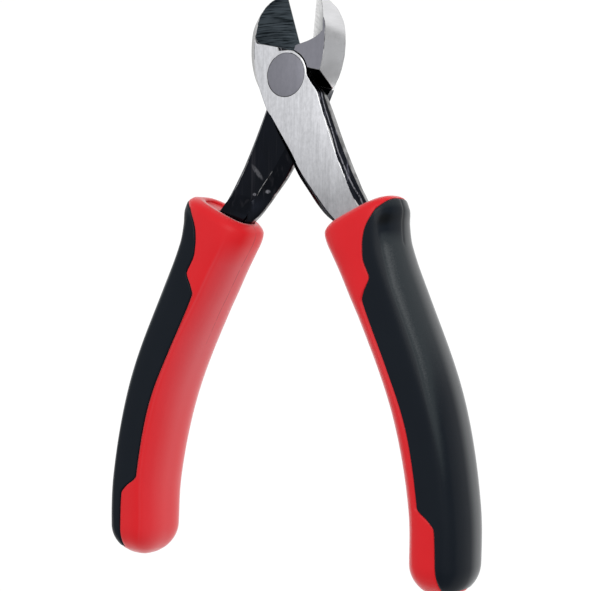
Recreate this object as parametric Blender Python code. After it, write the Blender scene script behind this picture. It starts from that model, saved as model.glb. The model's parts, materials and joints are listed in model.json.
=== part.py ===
"""Diagonal string cutter: two riveted levers with two-colour moulded grips.

Each lever is drawn in its own frame with the jaws closed: X across the tool, Y toward the jaws and
Z off the lap plane between the levers. An empty on the pivot turns it to the half-open rest pose.
All sizes are in millimetres.
"""
import math

import bmesh
import bpy
import numpy as np

MM = 0.001

# Pose: each lever turns this far from closed, may open this much further, and stops this much after that
HALF_OPEN = 12.0
EXTRA_OPEN = 12.0
STOP_SLACK = 0.8

# Head: half height, gap at the lap plane, broken edges, pivot disc and the seats that clear it
HEAD_HALF = 5.5
LAP = 0.05
EDGE_BREAK = 0.3
DISC_R = 6.5
DISC_ARC = (-12.0, 90.3)
DISC_STEPS = 12
RECESS_R = 6.85
NECK_R = 6.65
RAMP_FOOT_Y = -1.2
RAMP_TOP_Y = 3.0

# Jaw outline at the face, at the lap plane and at the back; shoulder at the face, belt and lap plane
JAW_FACE = [(-0.03, 21.3), (-1.5, 20.85), (-3.0, 20.0), (-4.7, 18.6), (-6.1, 16.9), (-8.1, 13.0),
            (-9.2, 8.5), (-9.55, 4.0), (-9.2, 0.0), (-8.5, -3.6), (-7.5, -8.0)]
JAW_MID = [(-0.03, 22.6), (-3.2, 22.1), (-5.2, 21.35), (-6.9, 20.35), (-8.5, 19.0), (-11.1, 15.4),
           (-12.9, 9.3), (-13.3, 4.0), (-12.7, 0.0), (-11.2, -3.6), (-8.6, -8.0)]
JAW_BACK = [(-0.03, 21.6), (-3.0, 21.0), (-4.5, 20.2), (-5.9, 19.0), (-7.3, 17.3), (-9.0, 14.9),
            (-10.2, 8.5), (-10.3, 4.0), (-10.0, 0.0), (-9.0, -3.6), (-7.5, -8.0)]
JAW_STEPS = 3
SHOULDER_FACE = [(8.9, -8.0), (8.7, -6.6), (7.4, -4.0), (6.4, -1.8)]
SHOULDER_BELT = [(9.5, -8.0), (9.0, -6.6), (7.4, -4.0), (6.4, -1.8)]
SHOULDER_LAP = [(7.0, -8.0), (6.9, -6.6), (6.6, -4.0), (6.4, -1.8)]

# Jaws: cutting edge as (y, z) at its two ends, slope and wall of the front bevel, relief behind the edge
EDGE_ROOT = (9.9, -4.05)
EDGE_TIP = (22.6, -1.6)
EDGE_LAND = 0.12
BEVEL_SLOPE = 1.15
BEVEL_WALL = [(1.0, 6.84), (-4.6, 9.43), (-6.4, 10.35), (-7.6, 11.6), (-8.2, 13.6), (-8.6, 18.0),
              (-9.0, 24.0)]
RELIEF_BACK_X = -6.0
BACK_START_Y = 8.0
BACK_SLOPE = 0.194

# Pivot rivet, countersunk at both ends
RIVET_HEAD_R = 5.75
RIVET_SHANK_R = 4.0
RIVET_HEAD_LAND = 0.7
RIVET_CONE = 2.4
RIVET_BREAK = 0.12
RIVET_FIT = 0.15
ROUND_SIDES = 64

# Tang: y, inner edge, outer edge, height of the face, height of the widest line (the belt) of the front
# lever and of the rear one
TANG = [(-14.0, -5.1, 9.9, 5.5, 1.5, 2.75),
        (-20.0, -2.75, 11.1, 5.5, 1.5, 2.75),
        (-26.0, -0.7, 12.5, 5.4, 1.5, 2.7),
        (-32.0, 2.0, 14.1, 4.9, 1.2, 2.3),
        (-38.0, 4.5, 15.5, 3.7, 0.4, 1.0),
        (-42.0, 6.8, 16.6, 2.9, 0.0, 0.2),
        (-50.0, 10.4, 19.2, 2.6, 0.0, 0.0),
        (-65.0, 14.25, 22.4, 2.6, 0.0, 0.0),
        (-80.0, 17.9, 25.3, 2.6, 0.0, 0.0),
        (-92.0, 20.1, 26.9, 2.6, 0.0, 0.0),
        (-106.0, 21.0, 27.0, 2.6, 0.0, 0.0)]
TANG_BACK = -2.6
TANG_RAMP = [(-34.0, 0.05), (-40.0, -2.9)]

# Forging draft: how far the inner and outer sides stand out past the face, in the open and in the grip,
# and the share of the outer draft that each lever has
MOUTH_Y = -40.0
OPEN_DRAFT = {'belt': (1.7, 1.0), 'lap': (-2.7, -1.9), 'back': (-3.8, -3.8)}
HELD_DRAFT = {'belt': (0.5, 0.38), 'lap': (0.05, -0.25), 'back': (-0.5, -0.5)}
FRONT_FLARE = 1.0
REAR_FLARE = 0.3

# Grip: axis of the moulding, half sizes along it (distance, inner, outer, thickness), corner power
GRIP_AXIS = [(12.2, -39.6), (13.2, -43.7), (18.4, -65.25), (23.5, -91.9), (23.6, -117.5), (20.7, -135.3),
             (19.6, -139.8)]
GRIP_LENGTH = 101.8
GRIP_HALF = [(0.0, 7.8, 10.0, 6.0), (0.7, 9.1, 11.4, 7.0), (2.0, 9.9, 12.2, 7.8), (4.5, 10.1, 12.0, 8.1),
             (8.0, 9.8, 10.3, 8.3), (13.0, 9.4, 8.8, 8.5), (20.0, 9.1, 8.1, 8.8), (27.0, 8.6, 8.0, 9.0),
             (54.0, 8.0, 7.7, 9.65), (80.0, 7.8, 7.3, 9.55), (98.0, 8.2, 7.3, 9.05), (103.0, 8.2, 7.3, 9.0)]
GRIP_POWER = 3.0
TIP_ROUND = 8.5
SOCKET_FROM_Y = -30.0
SOCKET_FIT = 0.35
SOCKET_END = 0.6

# Soft pad: distance along the grip and offset of its front edge from the axis, outward positive; then
# its ends, its top's lean, its depth and fits, and the share of the half width its edge may reach
PAD_EDGE = [(0.0, 10.6), (2.0, 9.2), (3.4, 7.5), (5.6, 5.2), (10.4, 1.75), (14.5, 0.5), (18.2, 0.6),
            (21.3, -2.4), (23.2, -3.8), (26.0, -3.9), (42.0, -3.6), (60.0, -2.9), (78.0, -3.1), (81.7, 0.1),
            (83.7, 1.4), (93.0, 1.6), (103.0, 2.6)]
PAD_FROM = 2.1
PAD_TO = 100.2
PAD_LEAN = 1.1
LEAN_FADE = 8.0
PAD_DEPTH = 2.0
PAD_PROUD = 0.3
PAD_LIP = -0.1
PAD_END_FIT = 0.3
PAD_SIDE_FIT = 0.55
EDGE_LIMIT = 0.97
SEAT_RUN = 0.4
SEAT_DRAFT = 0.1

# Rings of the moulding along its length, and points around its two colours
MOUTH_RINGS = [0.0, 0.35, 0.9]
GRIP_RINGS = [2.6, 4.0, 6.0, 8.2, 10.5, 13.0, 15.5, 18.0, 19.6, 21.3, 23.0, 25.0, 29.0, 34.0, 39.5, 45.0,
              50.5, 56.0, 61.5, 67.0, 72.5, 77.5, 79.4, 81.6, 83.6, 87.0, 90.5, 94.1, 96.4, 98.4]
TIP_RINGS = [100.9, 101.6, 101.79]
AXIS_STEPS = 40
AXIS_REACH = 1.5
RED_SIDES = 16
PAD_SIDES = 11

# Cutters run past the work by these amounts: sideways, and over or under the head
FAR = 30.0
PAST = 2.5
STOP_UNDER = 0.6

# Finish: linear colour, roughness and metal
POLISHED = ((0.60, 0.60, 0.61), 0.30, 1.0)
BLACKED = ((0.030, 0.034, 0.040), 0.35, 1.0)
GREY_STEEL = ((0.36, 0.36, 0.38), 0.38, 1.0)
RED = ((0.68, 0.022, 0.030), 0.32, 0.0)
DARK = ((0.013, 0.015, 0.020), 0.55, 0.0)
SMOOTH_BELOW = 0.6

BLOCK_FACES = [(0, 1, 2, 3), (4, 5, 6, 7), (0, 1, 5, 4), (1, 2, 6, 5), (2, 3, 7, 6), (3, 0, 4, 7)]


def pchip(table, column, x):
    """Monotone cubic through one column of a table."""
    xs = np.array([row[0] for row in table])
    ys = np.array([row[column] for row in table])
    step = np.diff(xs)
    rise = np.diff(ys) / step
    slope = np.zeros(len(xs))
    slope[0] = rise[0]
    slope[-1] = rise[-1]
    for i in range(1, len(xs) - 1):
        if rise[i - 1] * rise[i] > 0:
            near = 2 * step[i] + step[i - 1]
            far = step[i] + 2 * step[i - 1]
            slope[i] = (near + far) / (near / rise[i - 1] + far / rise[i])
    i = int(np.clip(np.searchsorted(xs, x) - 1, 0, len(xs) - 2))
    t = (x - xs[i]) / step[i]
    return float((1 + 2 * t) * (1 - t) ** 2 * ys[i] + t * (1 - t) ** 2 * step[i] * slope[i]
                 + t * t * (3 - 2 * t) * ys[i + 1] + t * t * (t - 1) * step[i] * slope[i + 1])


def smooth(points, per):
    """Catmull-Rom curve through points, with this many steps on each span."""
    p = np.array(points, dtype=float)
    p = np.vstack([2 * p[0] - p[1], p, 2 * p[-1] - p[-2]])
    out = []
    for i in range(1, len(p) - 2):
        for k in range(per):
            t = k / per
            out.append(0.5 * (2 * p[i] + (p[i + 1] - p[i - 1]) * t
                              + (2 * p[i - 1] - 5 * p[i] + 4 * p[i + 1] - p[i + 2]) * t ** 2
                              + (3 * p[i] - p[i - 1] - 3 * p[i + 1] + p[i + 2]) * t ** 3))
    out.append(p[-2])
    return np.array(out)


def solid(name, verts, faces, parent, flip=(1, 1, 1), finish=None):
    """Mesh object under a parent, its faces turned outward; one with no finish is a cutter."""
    mesh = bpy.data.meshes.new(name)
    mesh.from_pydata([tuple(c * f * MM for c, f in zip(v, flip)) for v in verts], [], faces)
    work = bmesh.new()
    work.from_mesh(mesh)
    bmesh.ops.recalc_face_normals(work, faces=work.faces)
    work.to_mesh(mesh)
    work.free()
    mesh.shade_smooth()
    mesh.set_sharp_from_angle(angle=SMOOTH_BELOW)
    obj = bpy.data.objects.new(name, mesh)
    bpy.context.collection.objects.link(obj)
    obj.parent = parent
    if finish is None:
        obj.hide_render = True
        obj.display_type = 'WIRE'
        return obj
    color, rough, metal = finish
    material = bpy.data.materials.new(name)
    material.use_nodes = True
    shader = material.node_tree.nodes['Principled BSDF']
    shader.inputs['Base Color'].default_value = (*color, 1.0)
    shader.inputs['Roughness'].default_value = rough
    shader.inputs['Metallic'].default_value = metal
    mesh.materials.append(material)
    return obj


def cut(target, cutter):
    mod = target.modifiers.new(cutter.name, 'BOOLEAN')
    mod.operation = 'DIFFERENCE'
    mod.solver = 'EXACT'
    mod.object = cutter


def tube_faces(rings, around):
    """Quads between rings of points, each ring closed on itself."""
    faces = []
    for k in range(rings - 1):
        a = k * around
        b = a + around
        for i in range(around):
            j = (i + 1) % around
            faces.append((a + i, a + j, b + j, b + i))
    return faces


def revolve(profile):
    """Closed solid of a profile of (radius, z), capped flat at both ends."""
    verts = []
    for r, z in profile:
        for k in range(ROUND_SIDES):
            a = 2 * math.pi * k / ROUND_SIDES
            verts.append((r * math.cos(a), r * math.sin(a), z))
    last = (len(profile) - 1) * ROUND_SIDES
    caps = [tuple(range(ROUND_SIDES)), tuple(last + k for k in range(ROUND_SIDES))]
    return verts, tube_faces(len(profile), ROUND_SIDES) + caps


def rivet_profile(fit):
    """Outline of the rivet, or of the hole for it when there is a fit."""
    head = RIVET_HEAD_R + fit
    shank = RIVET_SHANK_R + fit
    land = HEAD_HALF - RIVET_HEAD_LAND
    cone = land - RIVET_CONE
    waist = [(head, land), (shank, cone), (shank, -cone), (head, -land)]
    if fit:
        return [(head, HEAD_HALF + PAST), *waist, (head, -HEAD_HALF - PAST)]
    rim = head - RIVET_BREAK
    low = HEAD_HALF - RIVET_BREAK
    return [(rim, HEAD_HALF), (head, low), *waist, (head, -low), (rim, -HEAD_HALF)]


def inset(loop, distance):
    """Move a closed outline inward."""
    p = np.array(loop)
    area = 0.5 * np.sum(p[:, 0] * np.roll(p[:, 1], -1) - p[:, 1] * np.roll(p[:, 0], -1))
    turn = 1.0 if area > 0 else -1.0
    along = np.roll(p, -1, axis=0) - np.roll(p, 1, axis=0)
    along /= np.linalg.norm(along, axis=1)[:, None]
    return p + distance * turn * np.stack([-along[:, 1], along[:, 0]], axis=1)


def lever_blank(side):
    """Vertices and faces of a lever before its cuts, as loops of one outline at several heights."""
    start, end = (math.radians(a) for a in DISC_ARC)
    turns = np.linspace(start, end, DISC_STEPS + 1)
    arc = DISC_R * np.stack([np.cos(turns), np.sin(turns)], axis=1)
    jaw_face = smooth(JAW_FACE, JAW_STEPS)
    jaw_mid = smooth(JAW_MID, JAW_STEPS)
    jaw_back = smooth(JAW_BACK, JAW_STEPS)
    face = np.vstack([SHOULDER_FACE, arc, jaw_face])
    belt_line = np.vstack([SHOULDER_BELT, arc, (jaw_face + jaw_mid) / 2])
    lap_line = np.vstack([SHOULDER_LAP, arc, jaw_mid])
    back_line = np.vstack([SHOULDER_LAP, arc, jaw_back])
    head = len(face)
    y, inner, outer, top, front_belt, rear_belt = np.array(TANG).T
    belt, flare = (front_belt, FRONT_FLARE) if side > 0 else (rear_belt, REAR_FLARE)
    back = np.full(len(y), TANG_BACK)

    def loop(head_xy, head_z, tang_z, line=None):
        left = inner.copy()
        right = outer.copy()
        if line:
            left -= [(OPEN_DRAFT if at > MOUTH_Y else HELD_DRAFT)[line][0] for at in y]
            share = flare if line == 'belt' else 1.0
            right += [share * (OPEN_DRAFT if at > MOUTH_Y else HELD_DRAFT)[line][1] for at in y]
        xy = np.vstack([head_xy, np.column_stack([left, y]), np.column_stack([right, y])[::-1]])
        z = np.concatenate([np.full(head, head_z), tang_z, tang_z[::-1]])
        return np.column_stack([xy, z])

    loops = [loop(face, HEAD_HALF, top),
             loop(face, HEAD_HALF - EDGE_BREAK, top - EDGE_BREAK),
             loop(belt_line, HEAD_HALF / 2, belt, 'belt'),
             loop(lap_line, 0.0, (belt + back) / 2, 'lap'),
             loop(back_line, EDGE_BREAK - HEAD_HALF, back + EDGE_BREAK, 'back'),
             loop(back_line, -HEAD_HALF, back, 'back')]
    for k in (0, -1):
        loops[k][:, :2] = inset(loops[k][:, :2], EDGE_BREAK)
    around = len(loops[0])
    faces = tube_faces(len(loops), around)
    for base in (0, (len(loops) - 1) * around):
        faces.append(tuple(base + i for i in range(head)))
        a, b = head - 1, 0
        for i in range(len(y)):
            c = head + i
            d = around - 1 - i
            faces.append((base + a, base + c, base + d, base + b))
            a, b = c, d
    return np.vstack(loops), faces


def edge_z(y):
    t = (y - EDGE_ROOT[0]) / (EDGE_TIP[0] - EDGE_ROOT[0])
    return EDGE_ROOT[1] + t * (EDGE_TIP[1] - EDGE_ROOT[1])


def make_lever(name, parent, side, finish):
    """Front lever for side 1; the rear one is the same blank turned half way round about Y."""
    turn = (side, 1, side)
    mirror = (side, 1, 1)
    over = HEAD_HALF + PAST
    verts, faces = lever_blank(side)
    lever = solid(name, verts, faces, parent, turn, finish)

    def take(label, verts, faces, flip):
        cutter = solid(name + label, verts, faces, parent, flip)
        cut(lever, cutter)
        return cutter

    # The lap: everything behind the lap plane, between two drafted ramps
    slope = (RAMP_TOP_Y - RAMP_FOOT_Y) / HEAD_HALF
    run = (TANG_RAMP[1][0] - TANG_RAMP[0][0]) / (TANG_RAMP[0][1] - TANG_RAMP[1][1])
    block = []
    for z in (LAP, -over):
        low = TANG_RAMP[0][0] + run * (LAP - z)
        high = RAMP_FOOT_Y - slope * z
        block += [(-FAR, low, z), (FAR, low, z), (FAR, high, z), (-FAR, high, z)]
    take('_lap', block, BLOCK_FACES, turn)
    take('_recess', *revolve([(RECESS_R, LAP), (RECESS_R, -over)]), turn)

    # The stop: where the other lever's ramp arrives at full opening, outside the neck
    limit = -math.radians(2 * HALF_OPEN + EXTRA_OPEN + STOP_SLACK)
    c, s = math.cos(limit), math.sin(limit)
    block = []
    for z in (-STOP_UNDER, over):
        foot = RAMP_FOOT_Y + slope * z
        plan = [(RIVET_SHANK_R, foot), (FAR, foot), (FAR, FAR), (RIVET_SHANK_R, FAR)]
        block += [(x * c - y * s, x * s + y * c, z) for x, y in plan]
    stop = take('_stop', block, BLOCK_FACES, turn)
    cut(stop, solid(name + '_neck', *revolve([(NECK_R, over + PAST), (NECK_R, -PAST)]), parent, turn))

    # The jaw: front bevel down to the cutting edge, thinned back, relief under the edge
    plan = [*BEVEL_WALL, (BEVEL_WALL[-1][0], FAR), (BEVEL_WALL[0][0], FAR)]
    block = [(x, y, edge_z(y) - BEVEL_SLOPE * x) for x, y in plan] + [(x, y, FAR) for x, y in plan]
    around = len(plan)
    caps = [tuple(range(around)), tuple(range(around, 2 * around))]
    take('_bevel', block, tube_faces(2, around) + caps, mirror)
    plan = [(-FAR, BACK_START_Y), (DISC_R, BACK_START_Y), (DISC_R, FAR), (-FAR, FAR)]
    block = [(x, y, BACK_SLOPE * (y - BACK_START_Y) - HEAD_HALF) for x, y in plan]
    take('_back', block + [(x, y, -FAR) for x, y in plan], BLOCK_FACES, mirror)
    plan = [(PAST, 0.0), (RELIEF_BACK_X, 0.0), (RELIEF_BACK_X, FAR), (PAST, FAR)]
    block = [(x, y, edge_z(y) - EDGE_LAND + x) for x, y in plan] + [(x, y, -FAR) for x, y in plan]
    take('_relief', block, BLOCK_FACES, mirror)

    take('_hole', *revolve(rivet_profile(RIVET_FIT)), turn)


class GripAxis:
    """Centre line of a grip, measured by distance from its mouth."""

    def __init__(self):
        self.points = smooth(GRIP_AXIS, AXIS_STEPS)
        steps = np.linalg.norm(np.diff(self.points, axis=0), axis=1)
        self.far = np.concatenate([[0.0], np.cumsum(steps)])

    def at(self, s):
        return np.array([np.interp(s, self.far, self.points[:, k]) for k in (0, 1)])

    def outward(self, s):
        along = self.at(s + AXIS_REACH) - self.at(max(s - AXIS_REACH, 0.0))
        along /= np.linalg.norm(along)
        return np.array([-along[1], along[0]])


AXIS = GripAxis()


def grip_half(s):
    """Half sizes of the grip, drawn in to a round at the tip."""
    inner, outer, thick = (pchip(GRIP_HALF, k, s) for k in (1, 2, 3))
    u = max(0.0, (s - (GRIP_LENGTH - TIP_ROUND)) / TIP_ROUND)
    shrink = math.sqrt(1 - u * u)
    return inner * shrink, outer * shrink, thick * shrink


def grip_point(s, angle, grow):
    """Point of the grip's skin, or of a skin moved in or out, at an angle from the outer spine."""
    inner, outer, thick = grip_half(s)
    c = math.cos(angle)
    v = math.sin(angle)
    half = (outer if c > 0 else inner) + grow
    x = half * math.copysign(abs(c) ** (2 / GRIP_POWER), c)
    z = (thick + grow) * math.copysign(abs(v) ** (2 / GRIP_POWER), v)
    p = AXIS.at(s) + x * AXIS.outward(s)
    return (p[0], p[1], z)


def edge_angle(s, shift):
    """Angle of the pad's front edge, moved outward by a shift."""
    inner, outer, _ = grip_half(s)
    o = pchip(PAD_EDGE, 1, s) + shift
    q = o / (outer if o > 0 else inner)
    q = min(max(q, -EDGE_LIMIT), EDGE_LIMIT)
    return math.acos(math.copysign(abs(q) ** (GRIP_POWER / 2), q))


def lean(s, across):
    """Place of a ring's point along the grip: the pad's top reaches higher at the spine than at its edges."""
    fade = min(s / PAD_FROM, 1 - (s - PAD_FROM) / LEAN_FADE)
    return s + PAD_LEAN * (2 * across ** 2 - 1) * max(fade, 0.0)


def make_core(name, parent, side):
    """Red moulding with a seat for the pad and a socket for the tang."""
    levels = [(s, 0.0) for s in [*MOUTH_RINGS, PAD_FROM - SEAT_RUN]]
    levels += [(s, 1.0) for s in [PAD_FROM, *GRIP_RINGS, PAD_TO]]
    levels += [(s, 0.0) for s in [PAD_TO + SEAT_RUN, *TIP_RINGS]]
    verts = []
    for s, deep in levels:
        drop = -deep * (PAD_DEPTH + PAD_END_FIT)
        edge = edge_angle(s, 0.0)
        floor = edge_angle(s, SEAT_DRAFT * (1 + deep))
        top = lean(s, 1.0)
        verts += [grip_point(top, a, 0.0) for a in np.linspace(edge, 2 * math.pi - edge, RED_SIDES)]
        verts += [grip_point(lean(s, a / floor), a, drop) for a in np.linspace(-floor, floor, PAD_SIDES)]
    around = RED_SIDES + PAD_SIDES
    last = (len(levels) - 1) * around
    caps = [tuple(range(around)), tuple(last + i for i in range(around))]
    core = solid(name, verts, tube_faces(len(levels), around) + caps, parent, (side, 1, 1), RED)

    rows = [row for row in TANG if row[0] < SOCKET_FROM_Y]
    low = TANG_BACK - SOCKET_FIT
    verts = []
    for y, inner, outer, top, front_belt, rear_belt in rows:
        belt = front_belt if side > 0 else rear_belt
        draft = OPEN_DRAFT if y > MOUTH_Y else HELD_DRAFT
        wide = draft['belt'][0] + SOCKET_FIT
        end = y - SOCKET_END if y == TANG[-1][0] else y
        verts += [(inner - SOCKET_FIT, end, top + SOCKET_FIT), (outer + SOCKET_FIT, end, top + SOCKET_FIT),
                  (outer + wide, end, belt), (outer + SOCKET_FIT, end, low),
                  (inner - SOCKET_FIT, end, low), (inner - wide, end, belt)]
    around = len(verts) // len(rows)
    last = len(verts) - around
    caps = [tuple(range(around)), tuple(last + i for i in range(around))]
    faces = tube_faces(len(rows), around) + caps
    cut(core, solid(name + '_socket', verts, faces, parent, (side, 1, side)))


def make_pad(name, parent, side):
    """Dark soft skin set into the core's seat, with its rim drawn in below the red."""
    first = PAD_FROM + PAD_END_FIT
    last = PAD_TO - PAD_END_FIT
    levels = [first, *GRIP_RINGS, last]
    verts = []
    for s in levels:
        edge = edge_angle(s, PAD_SIDE_FIT)
        angles = np.linspace(-edge, edge, PAD_SIDES)
        lift = np.full(PAD_SIDES, PAD_LIP)
        if first < s < last:
            lift[1:-1] = PAD_PROUD
        verts += [grip_point(lean(s, a / edge), a, up) for a, up in zip(angles, lift)]
        verts += [grip_point(lean(s, a / edge), a, -PAD_DEPTH) for a in reversed(angles)]
    around = 2 * PAD_SIDES
    faces = tube_faces(len(levels), around)
    for base in (0, (len(levels) - 1) * around):
        for i in range(PAD_SIDES - 1):
            faces.append((base + i, base + i + 1, base + around - 2 - i, base + around - 1 - i))
    solid(name, verts, faces, parent, (side, 1, 1), DARK)


for old in list(bpy.data.objects):
    bpy.data.objects.remove(old, do_unlink=True)

pivots = {}
for label, side in (('front', 1), ('rear', -1)):
    empty = bpy.data.objects.new(label + '_pivot', None)
    bpy.context.collection.objects.link(empty)
    empty.location = (0.0, 0.0, HEAD_HALF * MM)
    empty.rotation_euler = (0.0, 0.0, side * math.radians(HALF_OPEN))
    pivots[label] = empty

make_lever('front_lever', pivots['front'], 1, POLISHED)
make_lever('rear_lever', pivots['rear'], -1, BLACKED)
solid('pivot_rivet', *revolve(rivet_profile(0.0)), pivots['rear'], finish=GREY_STEEL)
make_core('right_grip_core', pivots['front'], 1)
make_pad('right_grip_pad', pivots['front'], 1)
make_core('left_grip_core', pivots['rear'], -1)
make_pad('left_grip_pad', pivots['rear'], -1)
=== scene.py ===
# %% [markdown]
# A string cutter, dressed for its portrait
#
# The tool is a pair of diagonal cutters: two forged levers that lap over each other at a flush rivet, and
# two curved grips moulded in red plastic and dark rubber. The packed model already fixes where every piece
# is and how it turns. This lesson rebuilds each piece finely in the same place and gives it the finish that
# it has in the photograph, one step at a time.

# %% The packed frame
import json
import math

import bmesh
import bpy
import numpy as np
from mathutils import Matrix, Vector

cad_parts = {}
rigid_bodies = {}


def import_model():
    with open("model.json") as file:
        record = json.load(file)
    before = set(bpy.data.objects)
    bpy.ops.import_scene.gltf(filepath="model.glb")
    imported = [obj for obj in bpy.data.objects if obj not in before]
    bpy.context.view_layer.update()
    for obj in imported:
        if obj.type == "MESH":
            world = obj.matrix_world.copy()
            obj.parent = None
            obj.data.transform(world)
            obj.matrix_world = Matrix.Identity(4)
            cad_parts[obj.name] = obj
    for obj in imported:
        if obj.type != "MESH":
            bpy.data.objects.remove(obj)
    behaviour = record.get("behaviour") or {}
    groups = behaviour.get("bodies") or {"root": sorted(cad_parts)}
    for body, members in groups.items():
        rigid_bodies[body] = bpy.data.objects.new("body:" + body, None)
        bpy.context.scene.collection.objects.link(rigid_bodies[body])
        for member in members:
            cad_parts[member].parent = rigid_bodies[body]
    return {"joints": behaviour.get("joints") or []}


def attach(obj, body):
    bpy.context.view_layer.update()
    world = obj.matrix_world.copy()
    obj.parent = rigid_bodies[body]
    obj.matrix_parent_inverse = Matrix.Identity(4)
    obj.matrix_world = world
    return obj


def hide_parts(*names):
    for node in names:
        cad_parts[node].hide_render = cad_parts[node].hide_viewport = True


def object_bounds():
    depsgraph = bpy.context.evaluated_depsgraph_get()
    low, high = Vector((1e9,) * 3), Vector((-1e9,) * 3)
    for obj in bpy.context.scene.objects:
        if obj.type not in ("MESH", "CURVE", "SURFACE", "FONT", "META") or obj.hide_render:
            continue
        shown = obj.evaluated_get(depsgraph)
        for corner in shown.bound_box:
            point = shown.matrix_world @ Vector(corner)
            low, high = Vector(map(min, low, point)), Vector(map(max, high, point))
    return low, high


for old in list(bpy.data.objects):
    bpy.data.objects.remove(old, do_unlink=True)
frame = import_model()
cad_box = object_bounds()
hinge = frame["joints"][0]
PIVOT = Vector(hinge["pos_m"])
HALF_OPEN = math.radians(-hinge["range_deg"][0] / 2)
MM = 0.001
print("pivot:", tuple(PIVOT), "half open, degrees:", round(math.degrees(HALF_OPEN), 2))

# %% [markdown]
# Each lever is easiest to draw with the jaws closed, in millimetres, with the rivet at the origin, Y toward
# the jaw tips and Z off the plane where the levers lap. One matrix then turns a finished mesh to its
# half-open rest place. The piece's object stays at the origin, so its place is in its mesh, as for the
# packed nodes.

# %% Placing a piece
FRONT = 1
REAR = -1


def at_rest(side):
    """From the closed drawing of a lever, in millimetres, to its place in the frame."""
    return Matrix.Translation(PIVOT) @ Matrix.Rotation(side * HALF_OPEN, 4, 'Z') @ Matrix.Scale(MM, 4)


def show(name, data):
    obj = bpy.data.objects.new(name, data)
    bpy.context.scene.collection.objects.link(obj)
    return obj


def new_mesh(name, verts, faces):
    mesh = bpy.data.meshes.new(name)
    mesh.from_pydata([tuple(v) for v in verts], [], faces)
    return mesh


def outward_faces(mesh, weld=0.0):
    """Turn all faces of a closed mesh outward, after joining points closer than the weld distance."""
    work = bmesh.new()
    work.from_mesh(mesh)
    if weld:
        bmesh.ops.remove_doubles(work, verts=work.verts, dist=weld)
        bmesh.ops.dissolve_degenerate(work, dist=weld / 2, edges=work.edges)
    bmesh.ops.recalc_face_normals(work, faces=work.faces)
    work.to_mesh(mesh)
    work.free()
    return mesh


for label, side in (("front", FRONT), ("rear", REAR)):
    print(label, "lever at rest, degrees off closed:", round(math.degrees(side * HALF_OPEN), 1))

# %% [markdown]
# A good drawing has few points, and smooth curves between them. A size that changes along a piece is a
# table of a few rows, read with a monotone cubic, which never swings past its rows as a plain spline does.
# An outline is a list of corners joined by a Catmull-Rom curve, which runs through each of them. A skin is
# then made of rings of points with quads between them.

# %% Curves and rings


def monotone(table, column, x):
    """Monotone cubic through one column of a table, whose first column rises."""
    xs = np.array([row[0] for row in table])
    ys = np.array([row[column] for row in table])
    step = np.diff(xs)
    rate = np.diff(ys) / step
    slope = np.concatenate([rate[:1], np.zeros(len(xs) - 2), rate[-1:]])
    for i in range(1, len(xs) - 1):
        if rate[i - 1] * rate[i] > 0:
            near = 2 * step[i] + step[i - 1]
            far = step[i] + 2 * step[i - 1]
            slope[i] = (near + far) / (near / rate[i - 1] + far / rate[i])
    x = np.asarray(x, dtype=float)
    i = np.clip(np.searchsorted(xs, x) - 1, 0, len(xs) - 2)
    t = (x - xs[i]) / step[i]
    return ((1 + 2 * t) * (1 - t) ** 2 * ys[i] + t * (1 - t) ** 2 * step[i] * slope[i]
            + t * t * (3 - 2 * t) * ys[i + 1] + t * t * (t - 1) * step[i] * slope[i + 1])


def through(points, per):
    """Catmull-Rom curve through points, with this many steps on each span."""
    p = np.array(points, dtype=float)
    p = np.concatenate([[2 * p[0] - p[1]], p, [2 * p[-1] - p[-2]]])
    out = []
    for i in range(1, len(p) - 2):
        for k in range(per):
            t = k / per
            out.append(0.5 * (2 * p[i] + (p[i + 1] - p[i - 1]) * t
                              + (2 * p[i - 1] - 5 * p[i] + 4 * p[i + 1] - p[i + 2]) * t ** 2
                              + (3 * p[i] - p[i - 1] - 3 * p[i + 1] + p[i + 2]) * t ** 3))
    out.append(p[-2])
    return np.array(out)


def rise(x, start, end):
    """A straight rise from 0 at start to 1 at end."""
    return np.clip((x - start) / (end - start), 0.0, 1.0)


def tube_faces(rings, around):
    """Quads between rings of points, each ring closed on itself."""
    faces = []
    for k in range(rings - 1):
        a = k * around
        b = a + around
        for i in range(around):
            j = (i + 1) % around
            faces.append((a + i, a + j, b + j, b + i))
    return faces


print("a curve through three corners:", through([(0, 0), (1, 1), (2, 0)], 2).tolist())

# %% [markdown]
# Node trees are long to write one link at a time. They could be drawn by hand in the editor, but then
# nobody could read them here. Instead a small class wraps an output socket, so that sums on it read as
# Python and add their Math nodes.

# %% Sockets that do sums


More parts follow.
